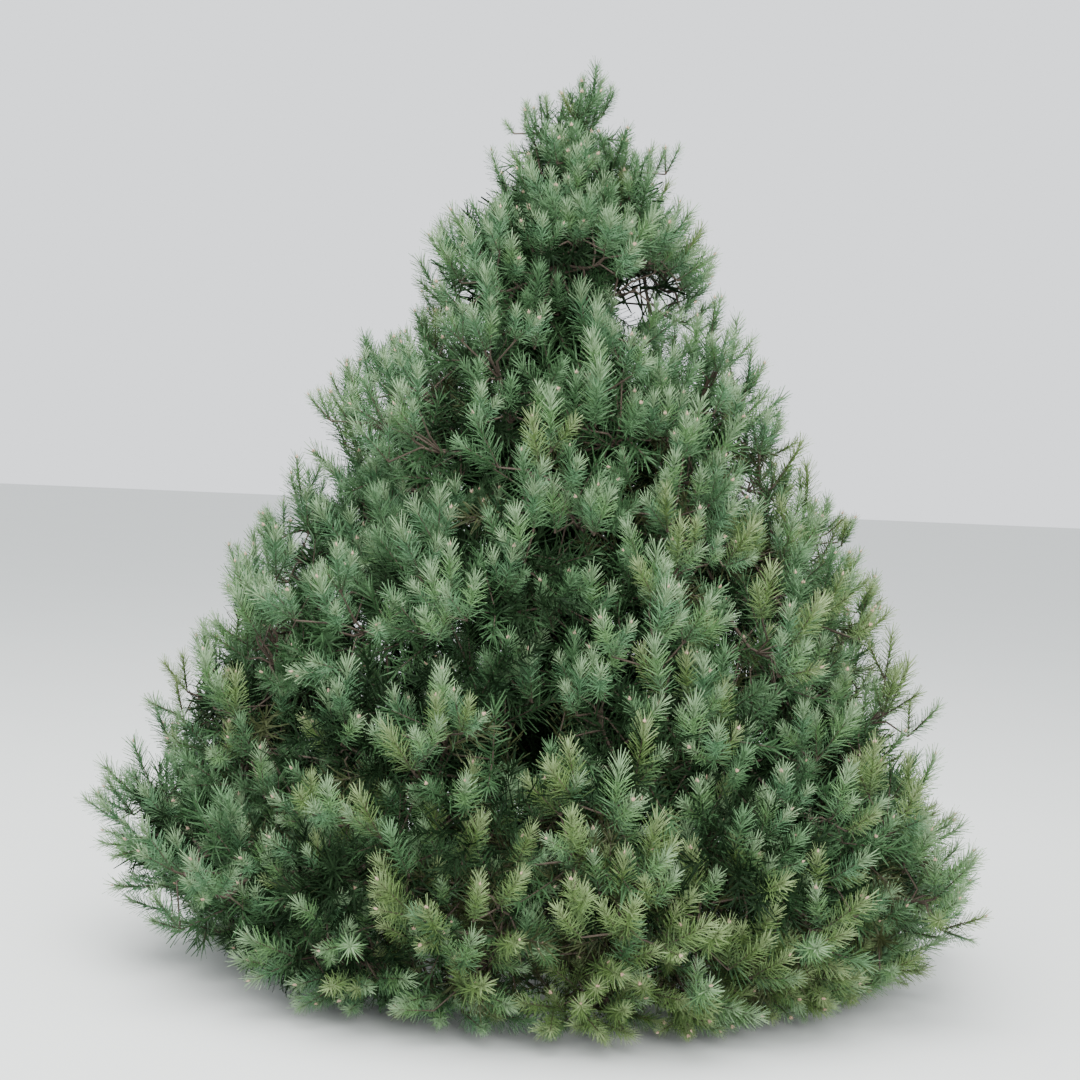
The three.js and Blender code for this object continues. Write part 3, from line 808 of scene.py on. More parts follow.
# The twigs
# Each bough goes on as a stem that forks into axes inside its mass of foliage. The axes bear a
# branchlet for every place on the crown, which forks into twiglets, and these bear the shoots.
SHOOT_LENGTH = 0.140
SHOOT_BEND = 0.016
LEAST_ROOM = 0.3

# Where the axes of a mass end, and how its twigs leave them
AXIS_SPREAD = 0.36
AXIS_DEPTH = 0.222
SIDE_AXIS_DEPTH = 0.262
HEAD_AXIS_SHARE = 0.45
TWIG_SLANT = 0.4
LAST_FORK = 0.9


def nearest(point, cells):
    return min(cells, key=lambda cell: (cell.site - point).length_squared)


def inside_space(point, own, cells):
    """How far a point lies inside a cell's own space, past which its neighbours begin."""
    reach = (point - own.site).length_squared
    return min(((point - other.site).length_squared - reach) / (2 * (other.site - own.site).length)
               for other in cells if other is not own)


def room_at(height, full_radius):
    """The share of its full size that something has where the crown is narrower than a radius."""
    return clamp(outline_radius(height) / full_radius, LEAST_ROOM, 1)


def axes_of(mass):
    """Where the axes of a mass end."""
    if not mass.whorl or mass.whorl.name == "head":
        return [mass.hub.lerp(mass.site, HEAD_AXIS_SHARE)]
    ends = []
    for side in (-1, 0, 1):
        bearing = mass.bearing + side * AXIS_SPREAD * tau / mass.whorl.count
        point, out = crown_point(mass.site.z, bearing)
        ends.append(point - (SIDE_AXIS_DEPTH if side else AXIS_DEPTH) * out)
    return ends


def twig_root(mass, target):
    """Where a twig leaves its axis on its way to a shoot: at a slant, or from the axis's ends."""
    roots = []
    for end in mass.axes:
        run = end - mass.hub
        way = run.normalized()
        ahead = (target - mass.hub).dot(way)
        aside = (target - mass.hub - ahead * way).length
        roots.append(mass.hub + way * clamp(ahead - TWIG_SLANT * aside, 0, LAST_FORK * run.length))
    return min(roots, key=lambda root: (root - target).length)


for mass in masses:
    mass.axes = axes_of(mass)

# The lumps that the crown's outside swells in, row over row
LUMP_ROWS = 11
LUMP_ROW_HEIGHTS = (0.10, 2.30)
LUMP_WIDTH = 0.40
FEWEST_LUMPS = 3
LUMP_TURN_PLAY = 0.45
LUMP_RISE_PLAY = 0.11
LUMP_SWELL_PLAY = 0.065
LUMP_STRETCH = 1.25
LUMP_CORE = 0.16


def stretched(point):
    """The space in which the lumps are nearest to what is theirs, so that they are wider than high."""
    return Vector((point.x, point.y, LUMP_STRETCH * point.z))


lumps = []
for row in range(LUMP_ROWS):
    level = lerp(*LUMP_ROW_HEIGHTS, row / (LUMP_ROWS - 1))
    in_row = max(FEWEST_LUMPS, round(tau * outline_radius(level) / LUMP_WIDTH))
    for i in range(in_row):
        k = len(lumps)
        height = level + LUMP_RISE_PLAY * offset(k, 30)
        bearing = tau * (i + 0.5 * (row % 2) + LUMP_TURN_PLAY * offset(k, 31)) / in_row + row
        site, out = crown_point(height, bearing)
        lumps.append(SimpleNamespace(
            site=stretched(site), centre=site, core=site - LUMP_CORE * out,
            swell=LUMP_SWELL_PLAY * offset(k, 34)))

# The hollows in the side that the view shows, by height, bearing and radius, and the ranges of
# those in the other sides
HOLLOWS = [
    (1.17, -1.76, 0.060), (1.07, -1.42, 0.070), (0.96, -1.80, 0.060), (0.82, -2.02, 0.065),
    (0.80, -2.16, 0.050), (0.78, -1.38, 0.045), (1.56, -2.07, 0.045), (1.83, -1.66, 0.060),
    (0.61, -1.74, 0.050), (0.55, -1.08, 0.080), (0.50, -1.00, 0.075), (0.28, -2.00, 0.125),
    (0.20, -2.18, 0.125), (0.13, -2.40, 0.110),
]
OTHER_HOLLOWS = 18
OTHER_HOLLOW_BEARINGS = (0.15, 2.9)
OTHER_HOLLOW_HEIGHTS = (0.15, 1.75)
OTHER_HOLLOW_SIZES = (0.05, 0.09)
HOLLOW_SINK = 0.060
HOLLOW_RIM = 0.045

hollow_places = list(HOLLOWS)
for k in range(OTHER_HOLLOWS):
    bearing = lerp(*OTHER_HOLLOW_BEARINGS, (k + seeded(k, 32)) / OTHER_HOLLOWS)
    height = lerp(*OTHER_HOLLOW_HEIGHTS, (k * FOOT_TURN) % 1)
    hollow_places.append((height, bearing, lerp(*OTHER_HOLLOW_SIZES, seeded(k, 33))))
hollows = []
for height, bearing, radius in hollow_places:
    point, out = crown_point(height, bearing)
    hollows.append((point - HOLLOW_SINK * out, out, radius))


def in_hollow(point):
    return any((point - centre).length < radius for centre, _, radius in hollows)


# The branchlets: a spiral over the whole crown, one more row round the hem and one more spiral
# round the head, each with its own play of place, heading and size
BRANCHLETS = 270
AREA_STEPS = 400
LOWEST_SHOOT = 0.04 * TREE_HEIGHT
GOLDEN_ANGLE = pi * (3 - sqrt(5))
SPIRAL_START = 0.9
SPIRAL_PLAY = 0.12
TURN_PLAY = 0.7
RISE = (0.35, 1.1)
RISE_PLAY = 0.5
RELIEF_DEPTH = 0.050
RELIEF_RUN = 0.130
TIP_PLAY = 0.026
SMALLEST_SHOOT = 0.92
SIZE_PLAY = 0.22
HEAD_FOOT = 0.76 * TREE_HEIGHT
HEAD_SHOOT_SIZE = 0.92
HEM_BRANCHLETS = 46
HEM_HEIGHT = 0.085
HEM_PLAY = 0.090
HEM_SIZE = 0.85
HEAD_BRANCHLETS = 16
HEAD_HEIGHTS = (1.98, 2.24)
HEAD_SIZE = 0.80


def even_heights(count):
    """Heights that give every part of the crown's outside its even share."""
    rise = (TREE_HEIGHT - LOWEST_SHOOT) / AREA_STEPS
    areas = [0]
    for i in range(AREA_STEPS):
        height = LOWEST_SHOOT + (i + 0.5) * rise
        slope = (outline_radius(height + rise) - outline_radius(height - rise)) / (2 * rise)
        areas.append(areas[i] + outline_radius(height) * hypot(1, slope))
    for k in range(count):
        wanted = (k + 0.5) / count * areas[-1]
        upper = next(i for i, area in enumerate(areas) if area >= wanted)
        part = (wanted - areas[upper - 1]) / (areas[upper] - areas[upper - 1])
        yield LOWEST_SHOOT + (upper - 1 + part) * rise


def add_branchlet(height, bearing, size):
    """A branchlet for one place on the crown, with chances of its own from its number."""
    k = len(branchlets)
    point, out = crown_point(height, bearing)
    mass = nearest(point, masses)
    rise = lerp(*RISE, height / TREE_HEIGHT) + RISE_PLAY * offset(k, 4)
    heading = bearing + TURN_PLAY * offset(k, 5)
    recess = RELIEF_DEPTH * (1 - smoothstep(inside_space(point, mass, masses), 0, RELIEF_RUN))
    branchlets.append(SimpleNamespace(
        mass=mass,
        out=out,
        along=Vector((cos(heading), sin(heading), rise)).normalized(),
        tip=point - (recess + TIP_PLAY * seeded(k, 6)) * out,
        size=(SMALLEST_SHOOT + SIZE_PLAY * seeded(k, 8)) * size))


branchlets = []
for k, height in enumerate(even_heights(BRANCHLETS)):
    bearing = k * GOLDEN_ANGLE + SPIRAL_START + SPIRAL_PLAY * offset(k, 3)
    add_branchlet(height, bearing, 1 if height < HEAD_FOOT else HEAD_SHOOT_SIZE)
for k in range(HEM_BRANCHLETS):
    bearing = tau * (k + 0.5 * offset(k, 41)) / HEM_BRANCHLETS
    add_branchlet(HEM_HEIGHT + HEM_PLAY * offset(k, 42), bearing, HEM_SIZE)
for k in range(HEAD_BRANCHLETS):
    height = lerp(*HEAD_HEIGHTS, (k + 0.5) / HEAD_BRANCHLETS)
    add_branchlet(height, k * GOLDEN_ANGLE, HEAD_SIZE)

# How far lumps swell, gather and sink at their edges, and how their shoots fan out
LUMP_SWELL = (0.012, 0.055)
SWELL_RISE = (0.5, 1.2)
LUMP_FULL_RADIUS = 0.5
LUMP_DEPTH = 0.120
LUMP_SHRINK = 0.15
LUMP_GATHER = 0.03
LUMP_RUN = 0.105
LUMP_UNDERSIDE = 0.14
LUMP_TOPSIDE = 0.3
LUMP_TOP_SHARE = 0.4
LUMP_FAN = 0.85
EDGE_SINK = 0.045
TWIG_CLEARANCE = 0.065

# How much fuller than a round cone the left and the right side are, from height to height
TRIM = [
    (0.00, -0.18, -0.04), (0.15, -0.06, 0.04), (0.29, -0.01, 0.02), (0.40, -0.02, 0.00),
    (0.57, -0.05, 0.01), (0.72, -0.03, 0.01), (0.81, -0.07, 0.05), (0.96, 0.06, 0.01),
    (1.12, -0.05, 0.05), (1.28, -0.02, -0.06), (1.40, 0.09, -0.03), (1.52, 0.06, 0.05),
    (1.64, 0.04, -0.05), (1.75, -0.03, 0.00), (1.86, 0.02, -0.05), (1.97, -0.04, -0.02),
    (2.06, 0.00, 0.08), (2.16, 0.12, 0.02), (2.24, 0.03, 0.07), (2.36, -0.02, 0.02),
    (2.50, 0.00, 0.00),
]


def trimmed(height, side):
    """How far the outside is set out at a height; side goes from -1, the left, to 1, the right."""
    left, right = between_rows(TRIM, height)
    return max(0, -side) * left + max(0, side) * right


def lump_at(point):
    return nearest(stretched(point), lumps)


def sunken(point):
    """How much of the full depth between lumps a point has, more of it under a lump than over it."""
    lump = lump_at(point)
    edge = 1 - smoothstep(inside_space(stretched(point), lump, lumps), 0, LUMP_RUN)
    under = smoothstep(lump.centre.z - point.z, -LUMP_TOPSIDE * LUMP_UNDERSIDE, LUMP_UNDERSIDE)
    between = edge * (LUMP_TOP_SHARE + (1 - LUMP_TOP_SHARE) * under)
    return max(between, *(1 - smoothstep((point - centre).length, radius, radius + HOLLOW_RIM)
                          for centre, _, radius in hollows))


def on_lump(point, out):
    """A point swelled out with its lump, or set back where lumps meet and under each lump."""
    lump = lump_at(point)
    room = room_at(point.z, LUMP_FULL_RADIUS)
    swell = lerp(*LUMP_SWELL, smoothstep(point.z, *SWELL_RISE)) + lump.swell
    swell = room * swell + trimmed(point.z, out.x)
    inward = lump.centre - point
    inward -= inward.dot(out) * out
    place = point + LUMP_GATHER * inward + (swell - LUMP_DEPTH * room * sunken(point)) * out
    reach = hypot(place.x, place.y)
    bearing = atan2(place.y, place.x)
    excess = reach - crown_radius(place.z, bearing) - trimmed(place.z, place.x / reach) + EDGE_SINK
    if excess > 0:
        place -= excess / reach * Vector((place.x, place.y, 0))
    place.z = max(place.z, TWIG_CLEARANCE)
    return place


def fanned(point):
    """The direction in which a point faces out of its lump."""
    return (point - lump_at(point).core).normalized()


# The shoots, with the chances that deal their looks
CHANCES_FROM = 100
TURN_SPREAD = (-0.18, 0.18)
NEARLY_UPRIGHT = 0.999
SPRAY_FORMS = 6
shoots = []


class Chances:
    """Repeatable numbers of a limb's own, so that one limb's change leaves the others alone."""

    def __init__(self, limb):
        self.limb = limb
        self.drawn = CHANCES_FROM

    def between(self, low, high):
        self.drawn += 1
        return lerp(low, high, seeded(self.limb, self.drawn))


def add_shoot(kind, start, way, size, chances, shade=0.0, stalks=()):
    """One year's growth with its needles, and the twigs that are drawn only if it stays."""
    shoots.append(SimpleNamespace(
        kind=kind, start=start.copy(), way=way.normalized(), size=size, shade=shade, stalks=stalks,
        form=int(chances.between(0, SPRAY_FORMS)), patch_play=chances.between(-0.5, 0.5),
        light_play=chances.between(-0.5, 0.5), bud_chance=chances.between(0, 1)))


def around(along, count, chances):
    """Directions square to a twig, spread evenly round it but for a little play."""
    side = along.cross(UP).normalized() if along.z < NEARLY_UPRIGHT else Vector((1, 0, 0))
    over = side.cross(along)
    spin = chances.between(0, tau)
    for i in range(count):
        angle = spin + tau * (i + chances.between(*TURN_SPREAD)) / count
        yield side * cos(angle) + over * sin(angle)


def leaning(along, aside, tilt, lift):
    """A direction that leans aside from a twig's own and is turned up."""
    return (along * cos(tilt) + aside * sin(tilt) + lift * UP).normalized()


# The stems, axes, twigs and twiglets, with their radii
AXIS_RADIUS_SHARE = 0.8
AXIS_TIP_RADIUS = 0.004
TWIG_RADIUS = 0.0055
TWIG_TIP_RADIUS = 0.0035
SHOOT_RADIUS = 0.0025
SHOOT_TIP_RADIUS = 0.0014
SHOOT_WOOD_END = 0.97
STEM_CURVE = 0.5
TWIG_CURVE = 0.45
TWIG_SHARES = (0, 0.25, 0.5, 0.75, 1)
TWIGLET_SHARES = (0, 0.5, 1)


def bent_path(start, bend, end, radius, tip_radius, shares=TWIG_SHARES):
    """A bent twig from its foot to its tip: points, each with the radius there."""
    return [(bezier(start, bend, end, t), lerp(radius, tip_radius, t)) for t in shares]


def twig_curve(mass, along, base):
    """The curve of a twig from an axis of its mass to the foot of its leading shoot."""
    root = twig_root(mass, base)
    return root, base - along * TWIG_CURVE * (base - root).length, base


twig_paths = []
for mass in masses:
    bend = mass.end + mass.along * STEM_CURVE * (mass.hub - mass.end).length
    axis_radius = AXIS_RADIUS_SHARE * mass.stem_radius
    twig_paths.append(bent_path(mass.end, bend, mass.hub, mass.stem_radius, axis_radius))
    for end in mass.axes:
        twig_paths.append([
            (mass.hub.lerp(end, t), lerp(axis_radius, AXIS_TIP_RADIUS, t)) for t in TWIG_SHARES])

# The shoots on each branchlet: the leading one, its laterals, and those of its twiglets
SHOOT_LIFT = 0.68
LIFT_HEIGHTS = (0.10, 0.45)
LATERALS = 1
LATERAL_TILT = (0.65, 0.95)
LATERAL_SIZE = (0.62, 0.85)
LATERAL_LIFT = 0.5
TWIGLETS = 4
TWIGLET_FORK = 0.6
TWIGLET_FULL_RADIUS = 0.25
TWIGLET_SPREAD = (0.055, 0.125)
TWIGLET_BACK = (-0.010, 0.050)
TWIGLET_LEAN = 0.30
TWIGLET_SIZE = (0.78, 1.0)
TWIGLET_LATERALS = (0.5, 1.7)
TWIGLET_LATERAL_LIFT = 0.4
INNER_TWIGLETS = 4
INNER_FORK = 0.4
INNER_SPREAD = (0.02, 0.13)
INNER_DEPTH = (0.06, 0.20)
INNER_SHOOTS = 2
INNER_SIZE = (0.85, 1.10)
INNER_OUTWARD = 0.35
INNER_UPWARD = 0.2
LEADER_SINK = 0.030
LEADER_SIZE = 0.55
LEADER_WHORL = 5


def add_laterals(end, way, count, lift, size, chances, stalks):
    """Smaller shoots that lean aside round the one at a twig's end."""
    for aside in around(way, count, chances):
        turned = leaning(way, aside, chances.between(*LATERAL_TILT), lift)
        lateral_size = size * chances.between(*LATERAL_SIZE)
        add_shoot("outer", end, turned, lateral_size, chances, sunken(end), stalks)


for k, branchlet in enumerate(branchlets):
    chances = Chances(k)
    along, out = branchlet.along, branchlet.out
    lift = SHOOT_LIFT * smoothstep(branchlet.tip.z, *LIFT_HEIGHTS)
    way = (along + lift * UP + LUMP_FAN * fanned(branchlet.tip)).normalized()
    base = branchlet.tip - SHOOT_LENGTH * branchlet.size * way
    size = branchlet.size * (1 - LUMP_SHRINK * sunken(base))
    base = on_lump(base, out)
    curve = twig_curve(branchlet.mass, along, base)
    twig = bent_path(*curve, TWIG_RADIUS, TWIG_TIP_RADIUS)
    add_shoot("outer", base, way, size, chances, sunken(base), (twig,))
    add_laterals(base, way, LATERALS, LATERAL_LIFT * lift, size, chances, (twig,))
    room = room_at(branchlet.tip.z, TWIGLET_FULL_RADIUS)
    fork = bezier(*curve, TWIGLET_FORK)
    for aside in around(along, TWIGLETS, chances):
        spread = room * chances.between(*TWIGLET_SPREAD)
        end = on_lump(base + spread * aside - chances.between(*TWIGLET_BACK) * along, out)
        if in_hollow(end):
            continue
        knee = fork + along * STEM_CURVE * (end - fork).length
        stalks = (twig, bent_path(fork, knee, end, TWIG_TIP_RADIUS, SHOOT_RADIUS, TWIGLET_SHARES))
        turned = leaning((along + LUMP_FAN * fanned(end)).normalized(), aside, TWIGLET_LEAN, lift)
        end_size = size * chances.between(*TWIGLET_SIZE)
        add_shoot("outer", end, turned, end_size, chances, sunken(end), stalks)
        add_laterals(end, turned, round(chances.between(*TWIGLET_LATERALS)),
                     TWIGLET_LATERAL_LIFT * lift, size, chances, stalks)
    fork = bezier(*curve, INNER_FORK)
    for aside in around(out, INNER_TWIGLETS, chances):
        sunk = chances.between(*INNER_SPREAD) * aside - chances.between(*INNER_DEPTH) * out
        end = base + room * sunk
        end.z = max(end.z, TWIG_CLEARANCE)
        if in_hollow(end):
            continue
        stalks = (twig, [(fork, TWIG_TIP_RADIUS), (end, SHOOT_RADIUS)])
        for beside in around(out, INNER_SHOOTS, chances):
            add_shoot("inner", end, beside + INNER_OUTWARD * out + INNER_UPWARD * UP,
                      size * chances.between(*INNER_SIZE), chances, stalks=stalks)

# The leader ends the trunk over a whorl of shoots
chances = Chances(len(branchlets))
tip = trunk_centre(TRUNK_TIP)
tip.z = TREE_HEIGHT - LEADER_SINK
base = tip - SHOOT_LENGTH * HEAD_SHOOT_SIZE * UP
top = tip - SHOOT_LENGTH * LEADER_SIZE * UP
twig = bent_path(*twig_curve(masses[-1], UP, base), TWIG_RADIUS, TWIG_TIP_RADIUS)
add_shoot("outer", top, UP, LEADER_SIZE, chances,
          stalks=(twig, [(base, TWIG_TIP_RADIUS), (top, SHOOT_RADIUS)]))
add_laterals(base, UP, LEADER_WHORL, LATERAL_LIFT * SHOOT_LIFT,
             HEAD_SHOOT_SIZE * (1 - LUMP_SHRINK * sunken(base)), chances, (twig,))

# Old sprays close the crown's inside to the eye, along the axes, the boughs and the trunk, and
# line the hollows. Their near-black needles are painted shade, which keeps the inside and the
# hollows dark.
CORE_REACH = 0.55
CORE_TILT = (0.7, 1.3)
CORE_SIZE = (0.7, 1.0)
DEEP_SIZE = (1.3, 1.8)
CORE_SHOOTS = 2
AXIS_SHARES = (0.2, 0.5, 0.8)
BOUGH_SHARES = (0.3, 0.45, 0.6, 0.75, 0.9)
TRUNK_SHOOTS = 4
TRUNK_SHOOT_HEIGHTS = (0.50, 2.0)
TRUNK_SHOOT_STEP = 0.035
HOLLOW_LINING = 8
LINING_DEPTH = 0.080
LINING_SINK = 0.6
LINING_SPREAD = (0.3, 1.1)
LINING_TURN = (-0.3, 0.3)
LINING_LIFT = 0.2
FIRST_MASS_NUMBER = 1000
FIRST_HOLLOW_NUMBER = 2000


def dress(places, count, sizes, chances):
    """Old sprays round the points of a limb, whose near-black needles are painted shade."""
    for start, along in places:
        room = CORE_REACH * outline_radius(start.z) / SHOOT_LENGTH
        for aside in around(along, count, chances):
            add_shoot("core", start, leaning(along, aside, chances.between(*CORE_TILT), 0),
                      min(room, chances.between(*sizes)), chances)


for k, mass in enumerate(boughs):
    chances = Chances(FIRST_MASS_NUMBER + k)
    for end in mass.axes:
        along = (end - mass.hub).normalized()
        dress([(mass.hub.lerp(end, t), along) for t in AXIS_SHARES], CORE_SHOOTS, CORE_SIZE, chances)
    foot, bend = trunk_centre(mass.foot), bough_bend(mass)
    places = [(bezier(foot, bend, mass.end, t), mass.along) for t in BOUGH_SHARES]
    dress(places, CORE_SHOOTS, DEEP_SIZE, chances)
height = TRUNK_SHOOT_HEIGHTS[0]
while height < TRUNK_SHOOT_HEIGHTS[1]:
    dress([(trunk_centre(height), UP)], TRUNK_SHOOTS, DEEP_SIZE, Chances(round(1e4 * height)))
    height += TRUNK_SHOOT_STEP
for k, (point, out, radius) in enumerate(hollows):
    chances = Chances(FIRST_HOLLOW_NUMBER + k)
    for aside in around(out, HOLLOW_LINING, chances):
        back = LINING_SINK * radius + LINING_DEPTH
        start = point - back * out + chances.between(*LINING_SPREAD) * radius * aside
        start.z = max(start.z, TWIG_CLEARANCE)
        add_shoot("core", start, aside + chances.between(*LINING_TURN) * out + LINING_LIFT * UP,
                  chances.between(*CORE_SIZE), chances)

# What keeps the shoots in the crown, off the ground and the pot, and out of the sky's gap
STRAY = {"outer": 0.030, "inner": 0.010, "core": -0.030}
STRAY_FULL_RADIUS = 0.35
STRAY_LEAST = 0.060
FARTHEST_STRAY = 0.050
SHORTEST = 0.7
GROUND_CLEARANCE = {"outer": 0.058, "inner": 0.066, "core": 0.075}
POT_CLEARANCE = 0.060
SKY_GAP = Vector((0.175, 0, 1.800))
SKY_GAP_RADIUS = {"outer": 0.044, "inner": 0.072, "core": 0.105}
SIGHT = (SKY_GAP - EYE).normalized()


def shoot_point(shoot, share):
    """A point along a shoot, which bends up a little on its way."""
    lift = UP - shoot.way * shoot.way.z
    up = lift.normalized() if lift.length > 0.01 else Vector((1, 0, 0))
    reach = shoot.size * share
    return shoot.start + shoot.way * SHOOT_LENGTH * reach + up * SHOOT_BEND * reach * share


def straying(shoot):
    """How much too far a shoot reaches out of the crown."""
    tip = shoot_point(shoot, 1)
    away = tip - trunk_centre(tip.z)
    bearing = atan2(away.y, away.x)
    room = STRAY[shoot.kind] * room_at(tip.z, STRAY_FULL_RADIUS)
    limit = crown_radius(tip.z, bearing) + trimmed(tip.z, cos(bearing)) + room
    return hypot(away.x, away.y) - max(limit, STRAY_LEAST)


def keep_in(shoot):
    """Shortens a shoot where it would stray out of the crown."""
    shoot.size *= clamp(1 - straying(shoot) / (SHOOT_LENGTH * shoot.size), SHORTEST, 1)


def keep_up(shoot):
    """Lifts a low shoot so that its needles clear the ground."""
    clearance = GROUND_CLEARANCE[shoot.kind] * shoot.size
    shoot.start.z = max(shoot.start.z, clearance)
    drop = (clearance - shoot.start.z) / (SHOOT_LENGTH * shoot.size)
    if shoot.way.z < drop:
        level = Vector((shoot.way.x, shoot.way.y, 0)).normalized()
        shoot.way = sqrt(1 - drop * drop) * level + drop * UP


def allowed(shoot):
    """Whether a shoot keeps to the crown and out of the pot, the hollows and the sky's gap."""
    ends = (shoot.start, shoot_point(shoot, 1))
    lowest = min(point.z for point in ends)
    nearest_to_pot = min(hypot(point.x, point.y) for point in ends)
    if lowest < POT_HEIGHT + POT_CLEARANCE and nearest_to_pot < POT_RADIUS + POT_CLEARANCE:
        return False
    if any((point - EYE).cross(SIGHT).length < SKY_GAP_RADIUS[shoot.kind] for point in ends):
        return False
    if shoot.kind == "outer" and in_hollow(shoot_point(shoot, 0.5)):
        return False
    return straying(shoot) < FARTHEST_STRAY and not in_hollow(shoot.start)


for shoot in shoots:
    keep_in(shoot)
    keep_up(shoot)
shoots = [shoot for shoot in shoots if allowed(shoot)]
twig_paths.extend({id(stalk): stalk for shoot in shoots for stalk in shoot.stalks}.values())
for shoot in shoots:
    if shoot.kind != "core":
        tip = shoot_point(shoot, SHOOT_WOOD_END)
        twig_paths.append([(shoot.start, SHOOT_RADIUS), (tip, SHOOT_TIP_RADIUS)])

# The twigs' wood, which is drawn round their paths, and their bark
TWIG_SIDES = 3
TWIG_DARK = (0.028, 0.020, 0.013, 1)
TWIG_PALE = (0.078, 0.055, 0.036, 1)

places, edges, radii = [], [], []
for path in twig_paths:
    first = len(places)
    edges.extend((first + i, first + i + 1) for i in range(len(path) - 1))
    places.extend(point for point, _ in path)
    radii.extend(radius for _, radius in path)
twig_lines = plain_mesh("twigs", places, edges, marks={"thickness": ("FLOAT", radii)})

wood = Growth("twig_wood", {"Sides": "Int"})
wood_section = wood.add("GeometryNodeCurvePrimitiveCircle", {}, {
    "Resolution": wood.given("Sides"), "Radius": 1.0})
wood_tubes = wood.add("GeometryNodeCurveToMesh", {}, {
    "Curve": wood.add("GeometryNodeMeshToCurve", {}, {"Mesh": wood.given("Geometry")}),
    "Profile Curve": wood_section, "Scale": wood.attribute("thickness"), "Fill Caps": True})
wood.ends_in(wood.add("GeometryNodeSetShadeSmooth", {}, {"Geometry": wood_tubes}))

twig_bark = Surface("twig_bark", {"Roughness": 0.8})
twig_mottle = twig_bark.noise(twig_bark.place(), 160, 4)
twig_bark.set({"Base Color": twig_bark.mix(twig_mottle, TWIG_DARK, TWIG_PALE)})
twig_bark.bump(twig_mottle, 0.001)
twigs = wood.grow(new_object("twigs", twig_lines), twig_bark, {"Sides": TWIG_SIDES})
foliage_nodes = [f"foliage_{mass.name}" for mass in masses]
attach(twigs, "root")
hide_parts(*foliage_nodes)


# The needles
# Needles in twisted pairs all round each shoot, stiff and blue-green, which stay for two or three
# years. The outer shoots are this year's and last year's. Each is darker towards its base, as
# painted shade, and paler at its end, partly as fresh growth and partly as painted highlight.
NEEDLE_TWIST = radians(65)
NEEDLE_POINT = 0.38
NEEDLE_ROLL = 0.9
NEEDLE_SIZES = (0.78, 1.1)
TILT_POWER = 2.2
TILT_PLAY = 0.2
ANGLE_PLAY = 0.35
END_SHORTENING = 0.1
PATCH_PLAY = 2.4
SHADE_PLAY = 0.35
OUTER_NEEDLE = {"Needle Length": 0.049, "Needle Width": 0.0036, "Root Tilt": 1.05, "Tip Tilt": 0.45}
INNER_NEEDLE = {"Needle Length": 0.060, "Needle Width": 0.0060, "Root Tilt": 1.15, "Tip Tilt": 0.50}
CORE_NEEDLE = {"Needle Length": 0.070, "Needle Width": 0.0075, "Root Tilt": 1.25, "Tip Tilt": 0.60}
SPRAYS = {
    "base": {"Needles": 34, "From": 0.08, "To": 0.40, **OUTER_NEEDLE},
    "body": {"Needles": 41, "From": 0.40, "To": 0.74, **OUTER_NEEDLE},
    "tip": {"Needles": 33, "From": 0.74, "To": 1.0, **OUTER_NEEDLE},
    "inner": {"Needles": 40, "From": 0.0, "To": 1.0, **INNER_NEEDLE},
    "core": {"Needles": 36, "From": 0.0, "To": 1.0, **CORE_NEEDLE},
}


def needle_mesh():
    """One needle as a blade of two faces, a metre long and wide, that narrows and twists."""
    half = Vector((0.5, 0, 0))
    tip = NEEDLE_POINT * Vector((0.5 * cos(NEEDLE_TWIST), 0.5 * sin(NEEDLE_TWIST), 0))
    return plain_mesh("needle", [-half, half, UP + tip, UP - tip], faces=[(0, 1, 2), (0, 2, 3)])


spray = Growth("needle_spray", {
    "Needle": "Object", "Needles": "Int", "From": "Float", "To": "Float", "Shoot Length": "Float",
    "Shoot Bend": "Float", "Needle Length": "Float", "Needle Width": "Float", "Root Tilt": "Float",
    "Tip Tilt": "Float", "Tilt Play": "Float", "Seed": "Int"})
from_root, to_tip = spray.given("From"), spray.given("To")
root_tilt, tip_tilt = spray.given("Root Tilt"), spray.given("Tip Tilt")
shoot_length, shoot_bend = spray.given("Shoot Length"), spray.given("Shoot Bend")
needle_index = spray.add("GeometryNodeInputIndex")
needle_share = from_root + (to_tip - from_root) * needle_index / spray.given("Needles")
chance_seed = spray.given("Seed") * 10
needle_roots = spray.add("GeometryNodePoints", {}, {
    "Count": spray.given("Needles"),
    "Position": spray.combined(X=shoot_bend * needle_share ** 2, Z=shoot_length * needle_share)})
needle_tilt = (root_tilt + (tip_tilt - root_tilt) * needle_share ** TILT_POWER
               + spray.given("Tilt Play") * spray.chance(-1.0, 1.0, chance_seed + 1))
needle_angle = needle_index * GOLDEN_ANGLE + spray.chance(-ANGLE_PLAY, ANGLE_PLAY, chance_seed + 2)
needle_turn = spray.add("FunctionNodeEulerToRotation", {}, {
    "Euler": spray.combined(X=needle_tilt, Z=needle_angle)})
needle_roll = spray.add("FunctionNodeAxisAngleToRotation", {}, {
    "Axis": (0, 0, 1), "Angle": spray.chance(-NEEDLE_ROLL, NEEDLE_ROLL, chance_seed + 3)})
needle_rolled = spray.add("FunctionNodeRotateRotation", {"rotation_space": "LOCAL"}, {
    "Rotation": needle_turn, "Rotate By": needle_roll})
shoot_lean = spray.math("ARCTANGENT", 2 * needle_share * shoot_bend / shoot_length)
shoot_turn = spray.add("FunctionNodeAxisAngleToRotation", {}, {"Axis": (0, 1, 0), "Angle": shoot_lean})
needle_leant = spray.add("FunctionNodeRotateRotation", {"rotation_space": "GLOBAL"}, {
    "Rotation": needle_rolled, "Rotate By": shoot_turn})
needle_reach = (spray.given("Needle Length") * spray.chance(*NEEDLE_SIZES, chance_seed + 4)
                * (1.0 - END_SHORTENING * needle_share ** 3))
needle_width = spray.given("Needle Width")
